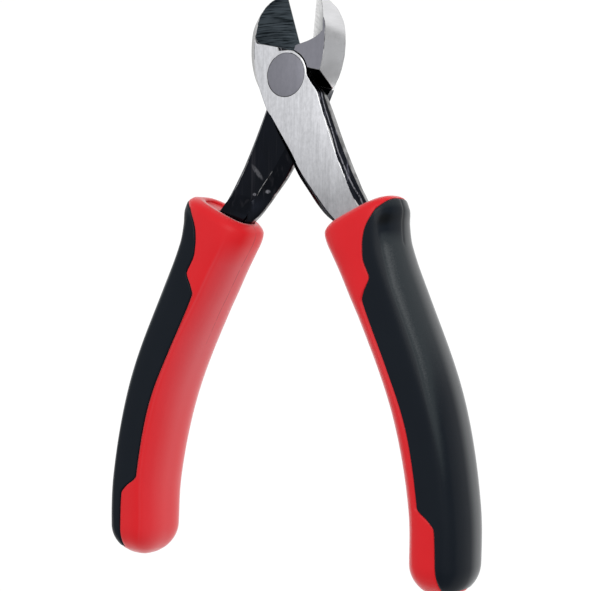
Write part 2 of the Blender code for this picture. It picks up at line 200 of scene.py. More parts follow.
class Sock:
    """An output socket of a node, with arithmetic."""

    def __init__(self, sheet, socket):
        self.sheet = sheet
        self.socket = socket

    def math(self, operation, other=None, swap=False):
        pair = [self] if other is None else [self, other]
        if swap:
            pair.reverse()
        return self.sheet.node('ShaderNodeMath', {'operation': operation}, dict(enumerate(pair)))

    def __add__(self, other):
        return self.math('ADD', other)

    def __sub__(self, other):
        return self.math('SUBTRACT', other)

    def __mul__(self, other):
        return self.math('MULTIPLY', other)

    def __truediv__(self, other):
        return self.math('DIVIDE', other)

    def __pow__(self, other):
        return self.math('POWER', other)

    def __gt__(self, other):
        return self.math('GREATER_THAN', other)

    def __rsub__(self, other):
        return self.math('SUBTRACT', other, swap=True)

    def __rtruediv__(self, other):
        return self.math('DIVIDE', other, swap=True)

    __radd__ = __add__
    __rmul__ = __mul__

    def __neg__(self):
        return self * -1.0

    def swing(self, size):
        """A noise, which runs from 0 to 1, as a swing of this size about 0."""
        return (self - 0.5) * size

    def step(self, low, high):
        """Smooth rise from 0 at low to 1 at high."""
        sockets = {'Value': self, 'From Min': low, 'From Max': high}
        return self.sheet.node('ShaderNodeMapRange', {'interpolation_type': 'SMOOTHSTEP'}, sockets)

    def parts(self):
        """The three numbers of a vector."""
        split = self.sheet.node('ShaderNodeSeparateXYZ', {}, {0: self}).socket.node
        return [Sock(self.sheet, s) for s in split.outputs]


print("reflected sums:", [name for name in vars(Sock) if name.startswith('__r')])

# %% [markdown]
# A second class wraps a tree. One method adds any node, with its settings first and its sockets after them,
# and a few more name the nodes that every finish here uses. Patterns read the piece's own coordinates,
# because each piece sits at the origin and a pattern must stay where it is when the tool opens.

# %% Sheets of nodes


class Sheet:
    """A node tree to add to."""

    def __init__(self, tree):
        self.tree = tree

    def node(self, kind, settings, sockets, out=0):
        """Any node: its type, its settings (also a ramp's stops), its sockets and the output to use."""
        made = self.tree.nodes.new(kind)
        for key, value in settings.items():
            if key == 'stops':
                ramp = made.color_ramp
                while len(ramp.elements) < len(value):
                    ramp.elements.new(0.5)
                for stop, (place, level) in zip(ramp.elements, value):
                    stop.position = place
                    stop.color = (level, level, level, 1.0)
            else:
                setattr(made, key, value)
        for key, value in sockets.items():
            self.feed(made.inputs[key], value)
        return Sock(self, made.outputs[out]) if made.outputs else None

    def feed(self, socket, value):
        if isinstance(value, Sock):
            self.tree.links.new(value.socket, socket)
        else:
            socket.default_value = value

    def mix(self, share, a, b):
        """Colour a where the share is 0, b where it is 1."""
        return self.node('ShaderNodeMix', {'data_type': 'RGBA'}, {0: share, 6: a, 7: b}, out=2)

    def shaded(self, colour, factor):
        """A colour times a number that varies over the surface."""
        colour = colour if isinstance(colour, Sock) else colour[:3]
        sockets = {'Vector': colour, 'Scale': factor}
        return self.node('ShaderNodeVectorMath', {'operation': 'SCALE'}, sockets)

    def place(self, turn=0.0, scale=(1.0, 1.0, 1.0)):
        """The piece's own coordinates, in metres, turned about Z and scaled."""
        here = self.node('ShaderNodeTexCoord', {}, {}, out='Object')
        sockets = {'Vector': here, 'Rotation': (0, 0, turn), 'Scale': scale}
        return self.node('ShaderNodeMapping', {}, sockets)

    def noise(self, turn, cells, detail=3.0, rough=0.55):
        """Noise with this many cells in a metre along each axis, after a turn about Z."""
        sockets = {'Vector': self.place(turn, cells), 'Scale': 1.0, 'Detail': detail, 'Roughness': rough}
        return self.node('ShaderNodeTexNoise', {}, sockets)

    def bump(self, height, depth, strength):
        return self.node('ShaderNodeBump', {}, {'Height': height, 'Distance': depth, 'Strength': strength})

    def attribute(self, name):
        return self.node('ShaderNodeAttribute', {'attribute_name': name}, {}, out='Fac')


print("calls on a sheet:", [name for name in vars(Sheet) if not name.startswith('_')])

# %% [markdown]
# Every finish of the tool, and of the floor, is one Principled shader. A new material already has one, so a
# helper only hands out the sheet to draw patterns on and a call that feeds the shader. What is the same all
# over a surface is set on the socket itself, and what varies is linked to it.

# %% A new finish


def finish(name):
    """A new material: its sheet, and a call that feeds its shader by socket name and returns it."""
    mat = bpy.data.materials.new(name)
    mat.use_nodes = True
    sheet = Sheet(mat.node_tree)
    shader = mat.node_tree.nodes['Principled BSDF']

    def surface(sockets):
        for key, value in sockets.items():
            sheet.feed(shader.inputs[key], value)
        return mat

    return sheet, surface


def grey(value, blue=1.0):
    return (value, value, value * blue, 1.0)


print("a cool grey:", grey(0.5, 1.1))

# %% [markdown]
# The camera comes first, because everything is seen through it. The photograph looks down on the lying
# tool from its right, with the jaws up. The angles, the distance and the lens were found by fitting the
# rivet, the jaws and the grips of the model to where they are in the picture.

# %% The camera
YAW = math.radians(33.34)
PITCH = math.radians(-0.94)
ROLL = math.radians(1.31)
DISTANCE = 0.435
TARGET = PIVOT + Vector((0.95, -58.02, 0.0)) * MM
FOCAL_PIXELS = 1636.3
IMAGE_PIXELS = 591
SENSOR = 36.0
NEAREST = 0.01

back = Vector((math.sin(YAW) * math.cos(PITCH), -math.sin(PITCH), math.cos(YAW) * math.cos(PITCH)))
level_right = Vector((0, 1, 0)).cross(back).normalized()
level_up = back.cross(level_right)
right = level_right * math.cos(ROLL) + level_up * math.sin(ROLL)
up = level_up * math.cos(ROLL) - level_right * math.sin(ROLL)
lens = bpy.data.cameras.new('camera')
lens.sensor_width = SENSOR
lens.lens = FOCAL_PIXELS * SENSOR / IMAGE_PIXELS
lens.clip_start = NEAREST
camera = show('camera', lens)
camera_turn = Matrix((right, up, back)).transposed().to_4x4()
camera.matrix_world = Matrix.Translation(TARGET + back * DISTANCE) @ camera_turn
bpy.context.scene.camera = camera
print("camera lens, mm:", round(lens.lens, 2))

# %% [markdown]
# The picture was taken on a bright white sweep, with light from everywhere. Lamps over a plain floor would
# leave shadows, so the floor itself glows: it stays white and throws light up into the sides of the grips.
# A grey card lies on it to the right, out of the picture and hidden from the camera, so that the polished
# wall of the jaw mirrors it as a grey band.

# %% Floor and card
FLOOR_GAP = 0.0002
FLOOR_HALF = 1.6
FLOOR_GLOW = 1.05
CARD_LIFT = 0.0001
CARD_NEAR = 0.211
CARD_TURNS = np.radians(np.linspace(-40.0, 40.0, 25))
CARD_GLOW = 0.35

bpy.context.scene.view_settings.view_transform = 'Standard'
floor_z = cad_box[0].z - FLOOR_GAP
corners = [(x * FLOOR_HALF, y * FLOOR_HALF, floor_z) for x, y in ((-1, -1), (1, -1), (1, 1), (-1, 1))]
floor = show('floor', new_mesh('floor', corners, [(0, 1, 2, 3)]))
arcs = [(TARGET.x + r * math.cos(a), TARGET.y + r * math.sin(a), floor_z + CARD_LIFT)
        for r in (CARD_NEAR, FLOOR_HALF) for a in CARD_TURNS]
count = len(CARD_TURNS)
strips = [(k, count + k, count + k + 1, k + 1) for k in range(count - 1)]
card = show('grey_card', new_mesh('grey_card', arcs, strips))
card.visible_camera = False
for stage_piece, strength in ((floor, FLOOR_GLOW), (card, CARD_GLOW)):
    sheet, surface = finish(stage_piece.name)
    glowing = surface({'Base Color': grey(0.0), 'Roughness': 1.0, 'Specular IOR Level': 0.0,
                       'Emission Color': grey(1.0), 'Emission Strength': strength})
    stage_piece.data.materials.append(glowing)
print("floor at z, mm:", round(floor_z / MM, 2))

# %% [markdown]
# Above the floor hangs a light tent. Bare lamps would leave hard patches in the polished steel, so the
# world itself glows. It is brighter to the right and in one broad patch over the left, and darker toward
# the near end and low on the right. One wide lamp, high beyond the jaws, adds a little direction.

# %% The light tent
TENT_TINT = (0.98, 0.99, 1.0, 1.0)
TENT_GLOW = 0.56
RIGHT_GAIN = 0.3
PATCH_AIM = (-0.55, 0.06, 0.83)
PATCH_GAIN = 0.2
NEAR_LOSS = 0.4
LOW_RIGHT_LOSS = 0.28
LAMP_PLACE = Vector((0.2, 0.35, 0.9))
LAMP_SIZE = 0.6
LAMP_POWER = 3.0

world = bpy.data.worlds.new('light_tent')
bpy.context.scene.world = world
world.use_nodes = True
tent = world.node_tree.nodes['Background']
sky = Sheet(world.node_tree)
ray = sky.node('ShaderNodeTexCoord', {}, {}, out='Generated')
ray_x, ray_y, ray_z = ray.parts()
patch = sky.node('ShaderNodeVectorMath', {'operation': 'DOT_PRODUCT'}, {0: ray, 1: PATCH_AIM}, out='Value')
low_right = ray_x.step(0.6, 0.85) * (1.0 - ray_z.step(0.35, 0.6))
glow = TENT_GLOW + ray_x.step(-0.5, 0.9) * RIGHT_GAIN + patch.step(0.8, 0.98) * PATCH_GAIN
glow = glow * (1.0 - (-ray_y).step(0.1, 0.7) * NEAR_LOSS) * (1.0 - low_right * LOW_RIGHT_LOSS)
sky.feed(tent.inputs['Strength'], glow)
sky.feed(tent.inputs['Color'], TENT_TINT)

lamp_data = bpy.data.lights.new('top_light', 'AREA')
lamp_data.shape = 'RECTANGLE'
lamp_data.size = LAMP_SIZE
lamp_data.size_y = LAMP_SIZE
lamp_data.energy = LAMP_POWER
lamp = show('top_light', lamp_data)
lamp.location = LAMP_PLACE
lamp.rotation_euler = (TARGET - LAMP_PLACE).to_track_quat('-Z', 'Y').to_euler()
print("tent:", len(world.node_tree.nodes), "nodes")

# %% [markdown]
# Bright steel first. The flats of the head are ground along the lever, which leaves fine lengthwise lines
# that vary in brightness. A picture of scratches would repeat, so stretched noise gives the lines, in the
# colour, the roughness and a very small bump. At the outer side of the tang the wheel ran off in a ragged
# line, with black past it. The mesh carries an attribute, inward, for how far from that side a point lies,
# and one more noise bends the line.

# %% Ground steel
HEAD_TONE = grey(0.80, 1.035)
RIVET_TONE = (0.29, 0.288, 0.325, 1.0)
# Noise cells in a metre: across the lever, along it and through it
GRIND_LINES = (2300.0, 130.0, 300.0)
GRIND_BANDS = (420.0, 40.0, 90.0)
GRIND_FROST = (1300.0, 700.0, 700.0)
FROST_SHARE = 1.2
GRIND_DEPTH = 0.00002
# Painted shade: where the flats grow darker toward the grips, as the tilted face mirrors a darker room, in
# metres below the rivet, and by how much
PAINTED_SHADE_BELOW = (0.008, 0.04)
PAINTED_SHADE_BY = 0.3
# The ragged line: its noise cells, its swing and softness in millimetres, and how dark it is past the line
RAGGED_CELLS = (60.0, 190.0, 60.0)
RAGGED_SWING = 2.6
RAGGED_SOFT = 0.07
RAGGED_DARK = 0.03


def ragged_edge(sheet, turn):
    """How far, in millimetres, the grinding ran over the edge of the tang. Below 0 it fell short."""
    return sheet.noise(turn, RAGGED_CELLS).swing(RAGGED_SWING)


def ground_steel(name, turn, colour, contrast, rough, ragged=False):
    sheet, surface = finish(name)
    lines = sheet.noise(turn, GRIND_LINES, detail=4.0, rough=0.6)
    bands = sheet.noise(turn, GRIND_BANDS)
    frost = sheet.noise(turn, GRIND_FROST, rough=0.7)
    below = -sheet.place(turn).parts()[1]
    shade = lines.swing(contrast) + bands.swing(contrast) + frost.swing(contrast * FROST_SHARE) + 1.0
    # Painted shade: the flats darken toward the grips
    shade = shade * (1.0 - below.step(*PAINTED_SHADE_BELOW) * PAINTED_SHADE_BY)
    if ragged:
        inside = sheet.attribute('inward') + ragged_edge(sheet, turn)
        shade = shade * (inside.step(-RAGGED_SOFT, RAGGED_SOFT) * (1.0 - RAGGED_DARK) + RAGGED_DARK)
    return surface({'Base Color': sheet.shaded(colour, shade), 'Metallic': 1.0,
                    'Roughness': lines.swing(0.25) + rough, 'Normal': sheet.bump(lines, GRIND_DEPTH, 0.35)})


front_face = ground_steel('front_face_steel', -HALF_OPEN, HEAD_TONE, 0.42, 0.36, ragged=True)
rear_face = ground_steel('rear_face_steel', HALF_OPEN, HEAD_TONE, 0.42, 0.36, ragged=True)
front_flat = ground_steel('front_flat_steel', -HALF_OPEN, RIVET_TONE, 0.2, 0.5)
rear_flat = ground_steel('rear_flat_steel', HALF_OPEN, RIVET_TONE, 0.2, 0.5)
rivet_steel = ground_steel('turned_rivet_steel', HALF_OPEN, RIVET_TONE, 0.22, 0.5)
disc_edge = ground_steel('bright_edge_steel', 0.0, grey(0.84), 0.1, 0.25)
print("ground steels:", front_face.name, rear_face.name, rivet_steel.name)

# %% [markdown]
# The outer walls of the jaws are polished. What shows in them is the tent and the card, so the finish
# itself is plain: a smooth metal with faint clouds and lines. Its tint at a glancing view is set apart,
# because that decides how bright the rim is where the wall turns away. The front jaw's wall is a darker
# copy of the rear one, a painted shade, as it turns away from the brighter right.

# %% Polished walls
WALL_CLOUDS = (190.0, 190.0, 190.0)
WALL_LINES = (300.0, 2200.0, 300.0)


def polished_wall(name, turn, colour, glancing):
    sheet, surface = finish(name)
    cloud = sheet.noise(turn, WALL_CLOUDS, detail=4.0)
    lines = sheet.noise(turn, WALL_LINES)
    shade = cloud.swing(0.3) + lines.swing(0.12) + 1.0
    return surface({'Base Color': sheet.shaded(colour, shade), 'Metallic': 1.0,
                    'Roughness': cloud.swing(0.12) + 0.15, 'Specular Tint': glancing})


# Painted shade: the front jaw's wall is a darker copy of the rear one's steel, in colour and glancing tint
front_wall = polished_wall('front_wall_steel', -HALF_OPEN, grey(0.45), grey(0.5))
rear_wall = polished_wall('rear_wall_steel', HALF_OPEN, grey(0.68, 1.02), grey(1.0))
print("polished walls:", front_wall.name, rear_wall.name)

# %% [markdown]
# The bevels that run down to the cutting edges are ground across in arcs. Even rings would look machined,
# so a noise is read in polar coordinates about a far centre: quick across the arcs and slow along them. On
# the front jaw the bevel's colour is a painted dark reflection, dark blue and near black, so its arcs show
# as near black lines.

# %% Bevels with grinding arcs
ARC_CENTRE = (-0.004, -0.012)
# Noise cells: in a metre of radius, in a radian along the arc and in a metre of depth
ARC_CELLS = (3200.0, 6.0, 160.0)
ARC_STOPS = [(0.36, 0.0), (0.5, 0.6), (0.68, 1.0)]
ARC_DEPTH = 0.00003
BEVEL_CLOUDS = (150.0, 260.0, 150.0)
FOOT_FADE = (0.0074, 0.008)
FOOT_DARK = 0.2
# Painted dark reflection: the two tones of the front jaw's bevel, dark blue and near black
BEVEL_PAINTED_DARK = (0.006, 0.009, 0.011, 1)
BEVEL_PAINTED_PALE = (0.075, 0.092, 0.106, 1)


def bevel_steel(name, turn, low, high, rough):
    """Grinding arcs between a dark and a light tone, darker at the foot of the bevel."""
    sheet, surface = finish(name)
    x, y, z = sheet.place(turn).parts()
    foot = y.step(*FOOT_FADE) * (1.0 - FOOT_DARK) + FOOT_DARK
    x = x - ARC_CENTRE[0]
    y = y - ARC_CENTRE[1]
    polar = ((x * x + y * y) ** 0.5, x.math('ARCTAN2', y), z)
    where = sheet.node('ShaderNodeCombineXYZ', {}, {k: polar[k] * ARC_CELLS[k] for k in range(3)})
    sockets = {'Vector': where, 'Scale': 1.0, 'Detail': 4.0, 'Roughness': 0.6}
    lines = sheet.node('ShaderNodeTexNoise', {}, sockets)
    cloud = sheet.noise(turn, BEVEL_CLOUDS, detail=2.0)
    share = sheet.node('ShaderNodeValToRGB', {'stops': ARC_STOPS}, {'Fac': lines + cloud.swing(0.35)})
    return surface({'Base Color': sheet.shaded(sheet.mix(share, low, high), foot), 'Metallic': 1.0,
                    'Roughness': cloud.swing(0.2) + rough, 'Normal': sheet.bump(lines, ARC_DEPTH, 0.4)})


# The front bevel wears the painted dark reflection
front_bevel = bevel_steel('front_bevel_steel', -HALF_OPEN, BEVEL_PAINTED_DARK, BEVEL_PAINTED_PALE, 0.42)
rear_bevel = bevel_steel('rear_bevel_steel', HALF_OPEN, grey(0.55), grey(0.82), 0.34)
print("bevels:", front_bevel.name, rear_bevel.name)

# %% [markdown]
# Everything that isn't ground keeps its black oxide: a thin, glossy, almost black skin. Its pale lengthwise
# streaks are partly oily streaks and partly painted reflections, brighter on the front tang, which faces
# the light. Along the top of each tang the wheel has run over the side in the same ragged line, and below
# that a wavering grey line is painted, a painted highlight along the side. The mesh carries an attribute,
# drop, for how far below the flat a point lies, and both lines are drawn with it. The rear tang also has
# three painted highlights, a reflection streak and two glints, each an oval with its own place and lean.

# %% Black oxide
OXIDE_DEEP = (0.003, 0.004, 0.007, 1)
OXIDE_PALE = (0.008, 0.01, 0.016, 1)
OXIDE_GLANCING = (0.3, 0.31, 0.34, 1)
OXIDE_CLOUDS = (260.0, 120.0, 260.0)
OXIDE_SPECKS = (2600.0, 900.0, 2600.0)
OXIDE_STREAKS = (800.0, 22.0, 800.0)
OXIDE_DEPTH = 0.00003
BARE_TONE = grey(0.55)
# The painted highlight line, in millimetres: how it wanders, its least drop below the flat and its soft
# half width
LINE_CELLS = (40.0, 90.0, 40.0)
LINE_WANDER = 2.4
LINE_DROP = 0.35
LINE_HALF = (0.08, 0.3)
TANG_LEAN = math.radians(24.8)
# Painted highlights on the lapped face of the rear tang, a reflection streak and two glints, in metres and
# radians: place, lean, half sizes, brightness
PAINTED_HIGHLIGHTS = [((-0.0067, -0.0271), -0.62, (0.0034, 0.0008), 0.12),
        ((-0.0028, -0.0316), 0.5, (0.0008, 0.0006), 0.3),
        ((-0.0062, -0.0331), 0.2, (0.0007, 0.0005), 0.25)]


def oval_highlight(sheet, turn, place, lean, half):
    """1 in the middle of the painted highlight and 0 from its rim outward."""
    u, v, _ = sheet.place(turn).parts()
    u = u - place[0]
    v = v - place[1]
    along = (u * math.cos(lean) + v * math.sin(lean)) / half[0]
    across = (v * math.cos(lean) - u * math.sin(lean)) / half[1]
    return (1.0 - (along * along + across * across)).step(0.0, 1.0)


def black_oxide(name, turn, along, streaks, highlights=()):
    """Oxide on a tang that leans along this angle, with pale streaks of this brightness, partly oily
    streaks and partly painted reflections.
    """
    sheet, surface = finish(name)
    cloud = sheet.noise(turn, OXIDE_CLOUDS)
    speck = sheet.noise(turn, OXIDE_SPECKS, detail=2.0)
    streak = sheet.noise(along, OXIDE_STREAKS, detail=2.0).step(0.55, 0.8)
    drop = sheet.attribute('drop')
    bare = 1.0 - (drop - ragged_edge(sheet, turn)).step(-RAGGED_SOFT, RAGGED_SOFT)
    line_drop = sheet.noise(along, LINE_CELLS, detail=2.0) * LINE_WANDER + LINE_DROP
    # Painted highlight: a wavering grey line along the side
    line = (1.0 - (drop - line_drop).math('ABSOLUTE').step(*LINE_HALF)) * speck.step(0.3, 0.55)
    dark = sheet.mix(cloud, OXIDE_DEEP, OXIDE_PALE)
    dark = sheet.mix(streak, dark, grey(streaks, 1.25))
    dark = sheet.mix(line, dark, grey(streaks * 2.0, 1.1))
    # Painted highlights on the rear tang: a reflection streak and two glints
    for place, lean, half, light in highlights:
        highlight = oval_highlight(sheet, turn, place, lean, half) * speck.step(0.25, 0.6)
        dark = sheet.mix(highlight, dark, grey(light, 1.1))
    return surface({'Base Color': sheet.mix(bare, dark, BARE_TONE), 'Metallic': 1.0,
                    'Roughness': speck.swing(0.2) + cloud * 0.12 + 0.24, 'Specular Tint': OXIDE_GLANCING,
                    'Coat Weight': (1.0 - bare) * 0.15, 'Coat Roughness': 0.1,
                    'Normal': sheet.bump(speck, OXIDE_DEPTH, 0.2)})


# Painted reflection: the streaks are brighter on the front tang, which faces the light
front_black = black_oxide('front_black_oxide', -HALF_OPEN, -HALF_OPEN - TANG_LEAN, 0.13)
rear_black = black_oxide('rear_black_oxide', HALF_OPEN, HALF_OPEN + TANG_LEAN, 0.025, PAINTED_HIGHLIGHTS)
print("oxide finishes:", front_black.name, rear_black.name)

# %% [markdown]
# Edges wear first. The narrow bevels on the machined edges, and the sides of the tangs that were trimmed
# after forging, are patches of bare and of dark metal. One noise with a steep step gives the patches, and
# the tones at its two ends say how far the wear has gone.

# %% Worn edges
WEAR_CELLS = (420.0, 420.0, 420.0)


def worn_edge(name, low, high):
    sheet, surface = finish(name)
    wear = sheet.noise(0.0, WEAR_CELLS).step(0.35, 0.62)
    tone = sheet.mix(wear, grey(low), grey(high))
    return surface({'Base Color': tone, 'Metallic': 1.0, 'Roughness': 0.34})


worn = worn_edge('worn_edge_steel', 0.03, 0.42)
trimmed = worn_edge('trimmed_edge_steel', 0.1, 0.3)
print("worn finishes:", worn.name, trimmed.name)

# %% [markdown]
# A lever starts as a forging: one outline that changes with height. Seen from its own flat face it runs
# round the shoulder and the pivot disc, up the line where the jaws meet, round the jaw and down both sides
# of the tang. It is drawn at the face, at the widest line of the side, at the lap plane and at the back.
# The jaw and the shoulder are a few corners at each height, and the tang is a table by distance below the
# rivet, so that one row moves both of its sides.

# %% The drawing of the levers
HEAD_HALF = 5.5
DISC_R = 6.5
JAW_FACE = [(-0.03, 20.9), (-1.2, 20.5), (-2.6, 19.7), (-4.2, 18.4), (-5.6, 16.8), (-7.5, 13.0),
            (-8.8, 8.5), (-9.3, 4.0), (-9.1, 0.0), (-8.5, -3.6), (-7.5, -8.0)]
JAW_MID = [(-0.03, 22.55), (-3.2, 22.05), (-5.2, 21.35), (-6.95, 20.4), (-8.75, 19.1), (-11.6, 15.4),
           (-13.25, 9.3), (-13.3, 4.0), (-12.3, 0.0), (-10.4, -3.6), (-8.3, -8.0)]
JAW_BACK = [(-0.03, 21.6), (-3.0, 21.0), (-4.5, 20.2), (-5.9, 19.0), (-7.3, 17.3), (-9.0, 14.9),
            (-10.2, 8.5), (-10.3, 4.0), (-9.1, 0.0), (-7.3, -3.6), (-6.0, -8.0)]
SHOULDER_FACE = [(8.9, -8.0), (8.7, -6.6), (7.5, -4.0), (6.62, -1.9)]
SHOULDER_BELT = [(9.1, -8.0), (8.8, -6.6), (7.5, -4.0), (6.62, -1.9)]
FRONT_SHOULDER_LAP = [(8.6, -8.0), (8.3, -6.6), (7.3, -4.0), (6.62, -1.9)]
REAR_SHOULDER_LAP = [(7.0, -8.0), (6.95, -6.6), (6.75, -4.0), (6.62, -1.9)]
# Down the tang: distance below the rivet, inner edge, outer edge, height of the face
TANG = [(8.0, -7.5, 8.9, 5.5), (14.0, -5.1, 9.8, 5.5), (20.0, -2.75, 10.8, 5.5), (26.0, -0.7, 11.9, 5.4),
        (32.0, 2.0, 13.2, 4.9), (38.0, 4.5, 14.5, 3.7), (42.0, 6.8, 15.8, 2.9), (50.0, 10.4, 19.0, 2.6),
        (65.0, 14.25, 22.4, 2.6), (80.0, 17.9, 25.3, 2.6), (92.0, 20.1, 26.9, 2.6),
        (106.0, 21.0, 27.0, 2.6)]
TANG_BACK = -2.6
# How far the sides stand out past the face: at the widest line (inner, outer), then at the lap plane
FRONT_DRAFT = [(8.0, 0.55, 0.2, 1.1, -0.3), (14.0, 1.5, 0.4, -2.2, 0.1), (20.0, 1.6, 0.6, -2.4, 0.3),
               (26.0, 1.7, 0.9, -2.7, 0.6), (34.0, 1.7, 1.2, -3.3, 0.9), (38.0, 1.5, 1.3, -2.0, 1.0),
               (42.0, 0.5, 1.0, 0.05, 0.8), (50.0, 0.5, 0.4, 0.05, 0.2), (106.0, 0.5, 0.2, 0.05, -0.2)]
REAR_DRAFT = [(8.0, 0.4, 0.2, 1.1, -1.9), (14.0, 0.8, 0.4, -2.2, -1.8), (20.0, 0.8, 0.6, -2.4, -1.6),
              (26.0, 0.85, 0.9, -2.7, -1.3), (34.0, 0.85, 1.2, -3.3, -0.8), (38.0, 0.8, 1.2, -2.0, -0.1),
              (42.0, 0.5, 0.9, 0.05, 0.5), (50.0, 0.5, 0.3, 0.05, -0.05), (106.0, 0.5, 0.1, 0.05, -0.25)]
# Height of the widest line on each lever, by distance below the rivet
FRONT_BELT = [(8.0, 2.6), (26.0, 2.6), (32.0, 2.2), (38.0, 1.0), (42.0, 0.2), (106.0, 0.0)]
REAR_BELT = [(8.0, 2.75), (26.0, 2.7), (32.0, 2.3), (38.0, 1.0), (42.0, 0.2), (106.0, 0.0)]
# The unground corner on the inner side of the tang: how far the ground face stops short of the edge
FRONT_CORNER = [(8.0, 0.1), (14.0, 0.3), (26.0, 0.4), (34.0, 0.45), (42.0, 0.6), (106.0, 0.6)]
REAR_CORNER = [(8.0, 0.0), (106.0, 0.0)]
FORMS = {FRONT: (FRONT_BELT, FRONT_DRAFT, FRONT_CORNER, FRONT_SHOULDER_LAP),
         REAR: (REAR_BELT, REAR_DRAFT, REAR_CORNER, REAR_SHOULDER_LAP)}


def tang_at(y):
    """Inner edge, outer edge and height of the face of the tang at this y of the drawing."""
    return [monotone(TANG, k, max(-y, TANG[0][0])) for k in (1, 2, 3)]


print("widest jaw, mm:", min(x for x, y in JAW_MID), "tang to, mm:", -TANG[-1][0])

# %% [markdown]
# Where the wheel has ground the flat, its edge is left with a small round. A Bevel modifier limited by
# angle would give one, but it would also round the line where the jaws meet, which has to stay sharp. So
# the round is drawn: a few rings from the flat out to the outline, each an inset of it that fades to
# nothing at that line.

# %% The round on the flat
EDGE_ROUND = 0.3
ROUND_STEPS = 4
MEETING_FADE = 1.4


def inset(loop, distance):
    """Move a closed outline inward, but for the line where the jaws meet."""
    p = np.array(loop)
    area = np.sum(p[:, 0] * np.roll(p[:, 1], -1) - p[:, 1] * np.roll(p[:, 0], -1))
    along = np.roll(p, -1, axis=0) - np.roll(p, 1, axis=0)
    along /= np.linalg.norm(along, axis=1)[:, None]
    off_meeting = np.clip(np.abs(p[:, 0] - JAW_FACE[0][0]) / MEETING_FADE, 0, 1)
    fade = np.where(p[:, 1] > 0, off_meeting, 1)[:, None]
    return p + distance * fade * np.sign(area) * np.stack([-along[:, 1], along[:, 0]], axis=1)


def rounded_rim(face):
    """Rings from the flat out to the outline of the face, along a quarter round."""
    rings = []
    for k in range(ROUND_STEPS):
        a = math.pi / 2 * (1 - k / ROUND_STEPS)
        ring = face.copy()
        ring[:, :2] = inset(face[:, :2], EDGE_ROUND * (1 - math.cos(a)))
        ring[:, 2] += EDGE_ROUND * math.sin(a)
        rings.append(ring)
    return rings


print("round on the flat, mm:", EDGE_ROUND, "in", ROUND_STEPS, "rings")

# %% [markdown]
# Smooth curves join the outlines into a wall below the round. A block with bevelled edges would be quicker,
# but a forging has draft: its sides lean by another amount at each height and each place along it. The same
# function makes both levers from their tables.

# %% The forged blank
WALL_STEPS = 5
JAW_STEPS = 7
SHOULDER_STEPS = 5
DISC_ARC = (-12.0, 90.3)
DISC_STEPS = 52
TANG_STEP = 1.4
CORNER_DROP = 0.9
CORNER_LEAN = 0.55
CORNER_LEAST = 0.02
BACK_DRAFT = -0.5


def lever_rings(belt_table, draft_table, corner_table, shoulder_lap):
    """The outlines of a lever from its flat to its back, and how many points of each lie on the head."""
    turns = np.radians(np.linspace(*DISC_ARC, DISC_STEPS))
    arc = DISC_R * np.stack([np.cos(turns), np.sin(turns)], axis=1)
    down = np.arange(TANG[0][0] + TANG_STEP, TANG[-1][0] + TANG_STEP / 2, TANG_STEP)
    down[-1] = TANG[-1][0]
    inner, outer, top = (monotone(TANG, k, down) for k in (1, 2, 3))
    wide_in, wide_out, lap_in, lap_out = (monotone(draft_table, k, down) for k in (1, 2, 3, 4))
    corner = monotone(corner_table, 1, down)
    belt = monotone(belt_table, 1, down)
    deep = np.full(len(down), TANG_BACK)

    def ring(jaw, shoulder, head_z, tang_z, draft_in, draft_out):
        head = np.vstack([through(shoulder, SHOULDER_STEPS), arc, through(jaw, JAW_STEPS)])
        left_side = np.stack([inner - draft_in, -down], axis=1)
        right_side = np.stack([outer + draft_out, -down], axis=1)[::-1]
        z = np.concatenate([np.full(len(head), head_z), tang_z, tang_z[::-1]])
        return np.column_stack([np.vstack([head, left_side, right_side]), z])

    jaw_face, jaw_mid = np.array(JAW_FACE), np.array(JAW_MID)
    shoulder_face, shoulder_belt = np.array(SHOULDER_FACE), np.array(SHOULDER_BELT)
    share = (CORNER_DROP - EDGE_ROUND) / (HEAD_HALF - EDGE_ROUND)
    high_jaw = jaw_face + (jaw_mid - jaw_face) * share
    high_shoulder = shoulder_face + (shoulder_belt - shoulder_face) * 2 * share
    face = ring(JAW_FACE, SHOULDER_FACE, HEAD_HALF - EDGE_ROUND, top - EDGE_ROUND, -corner, 0.0)
    high = ring(high_jaw, high_shoulder, HEAD_HALF - CORNER_DROP, top - CORNER_DROP,
                corner * CORNER_LEAN + CORNER_LEAST, wide_out * 2 * share)
    wide = ring((jaw_face + jaw_mid) / 2, SHOULDER_BELT, (HEAD_HALF - EDGE_ROUND) / 2, belt,
                wide_in, wide_out)
    lap = ring(JAW_MID, shoulder_lap, 0.0, (belt + deep) / 2, lap_in, lap_out)
    low = ring(JAW_BACK, shoulder_lap, -HEAD_HALF, deep, BACK_DRAFT, BACK_DRAFT)
    wall = [face, *through([high, wide, lap], WALL_STEPS), *through([lap, low], WALL_STEPS)[1:]]
    return rounded_rim(face) + wall, len(face) - 2 * len(down)


def lever_blank(side):
    """The forging: its wall, and at each end one face on the head and strips down the tang."""
    rings, head = lever_rings(*FORMS[side])
    around = len(rings[0])
    faces = tube_faces(len(rings), around)
    for base in (0, (len(rings) - 1) * around):
        faces.append(tuple(base + i for i in range(head)))
        a, b = head - 1, 0
        for i in range((around - head) // 2):
            faces.append((base + a, base + head + i, base + around - 1 - i, base + b))
            a, b = head + i, around - 1 - i
    return np.vstack(rings), faces


print("blank:", len(lever_blank(FRONT)[0]), "points,", len(lever_blank(FRONT)[1]), "faces")

# %% [markdown]
# The forging is then machined. Half of the head's thickness goes, so that the levers lap. A round seat
# clears the other lever's disc, and a stop is swept out at full opening. The front of the jaw is bevelled
# down to the cutting edge, its back is thinned and relieved, and the rivet hole goes through. Each cut is a
# turned shape or a simple block, as on the machine, so two helpers draw them all.

# %% Shapes of the cuts
TURNED_SIDES = 160


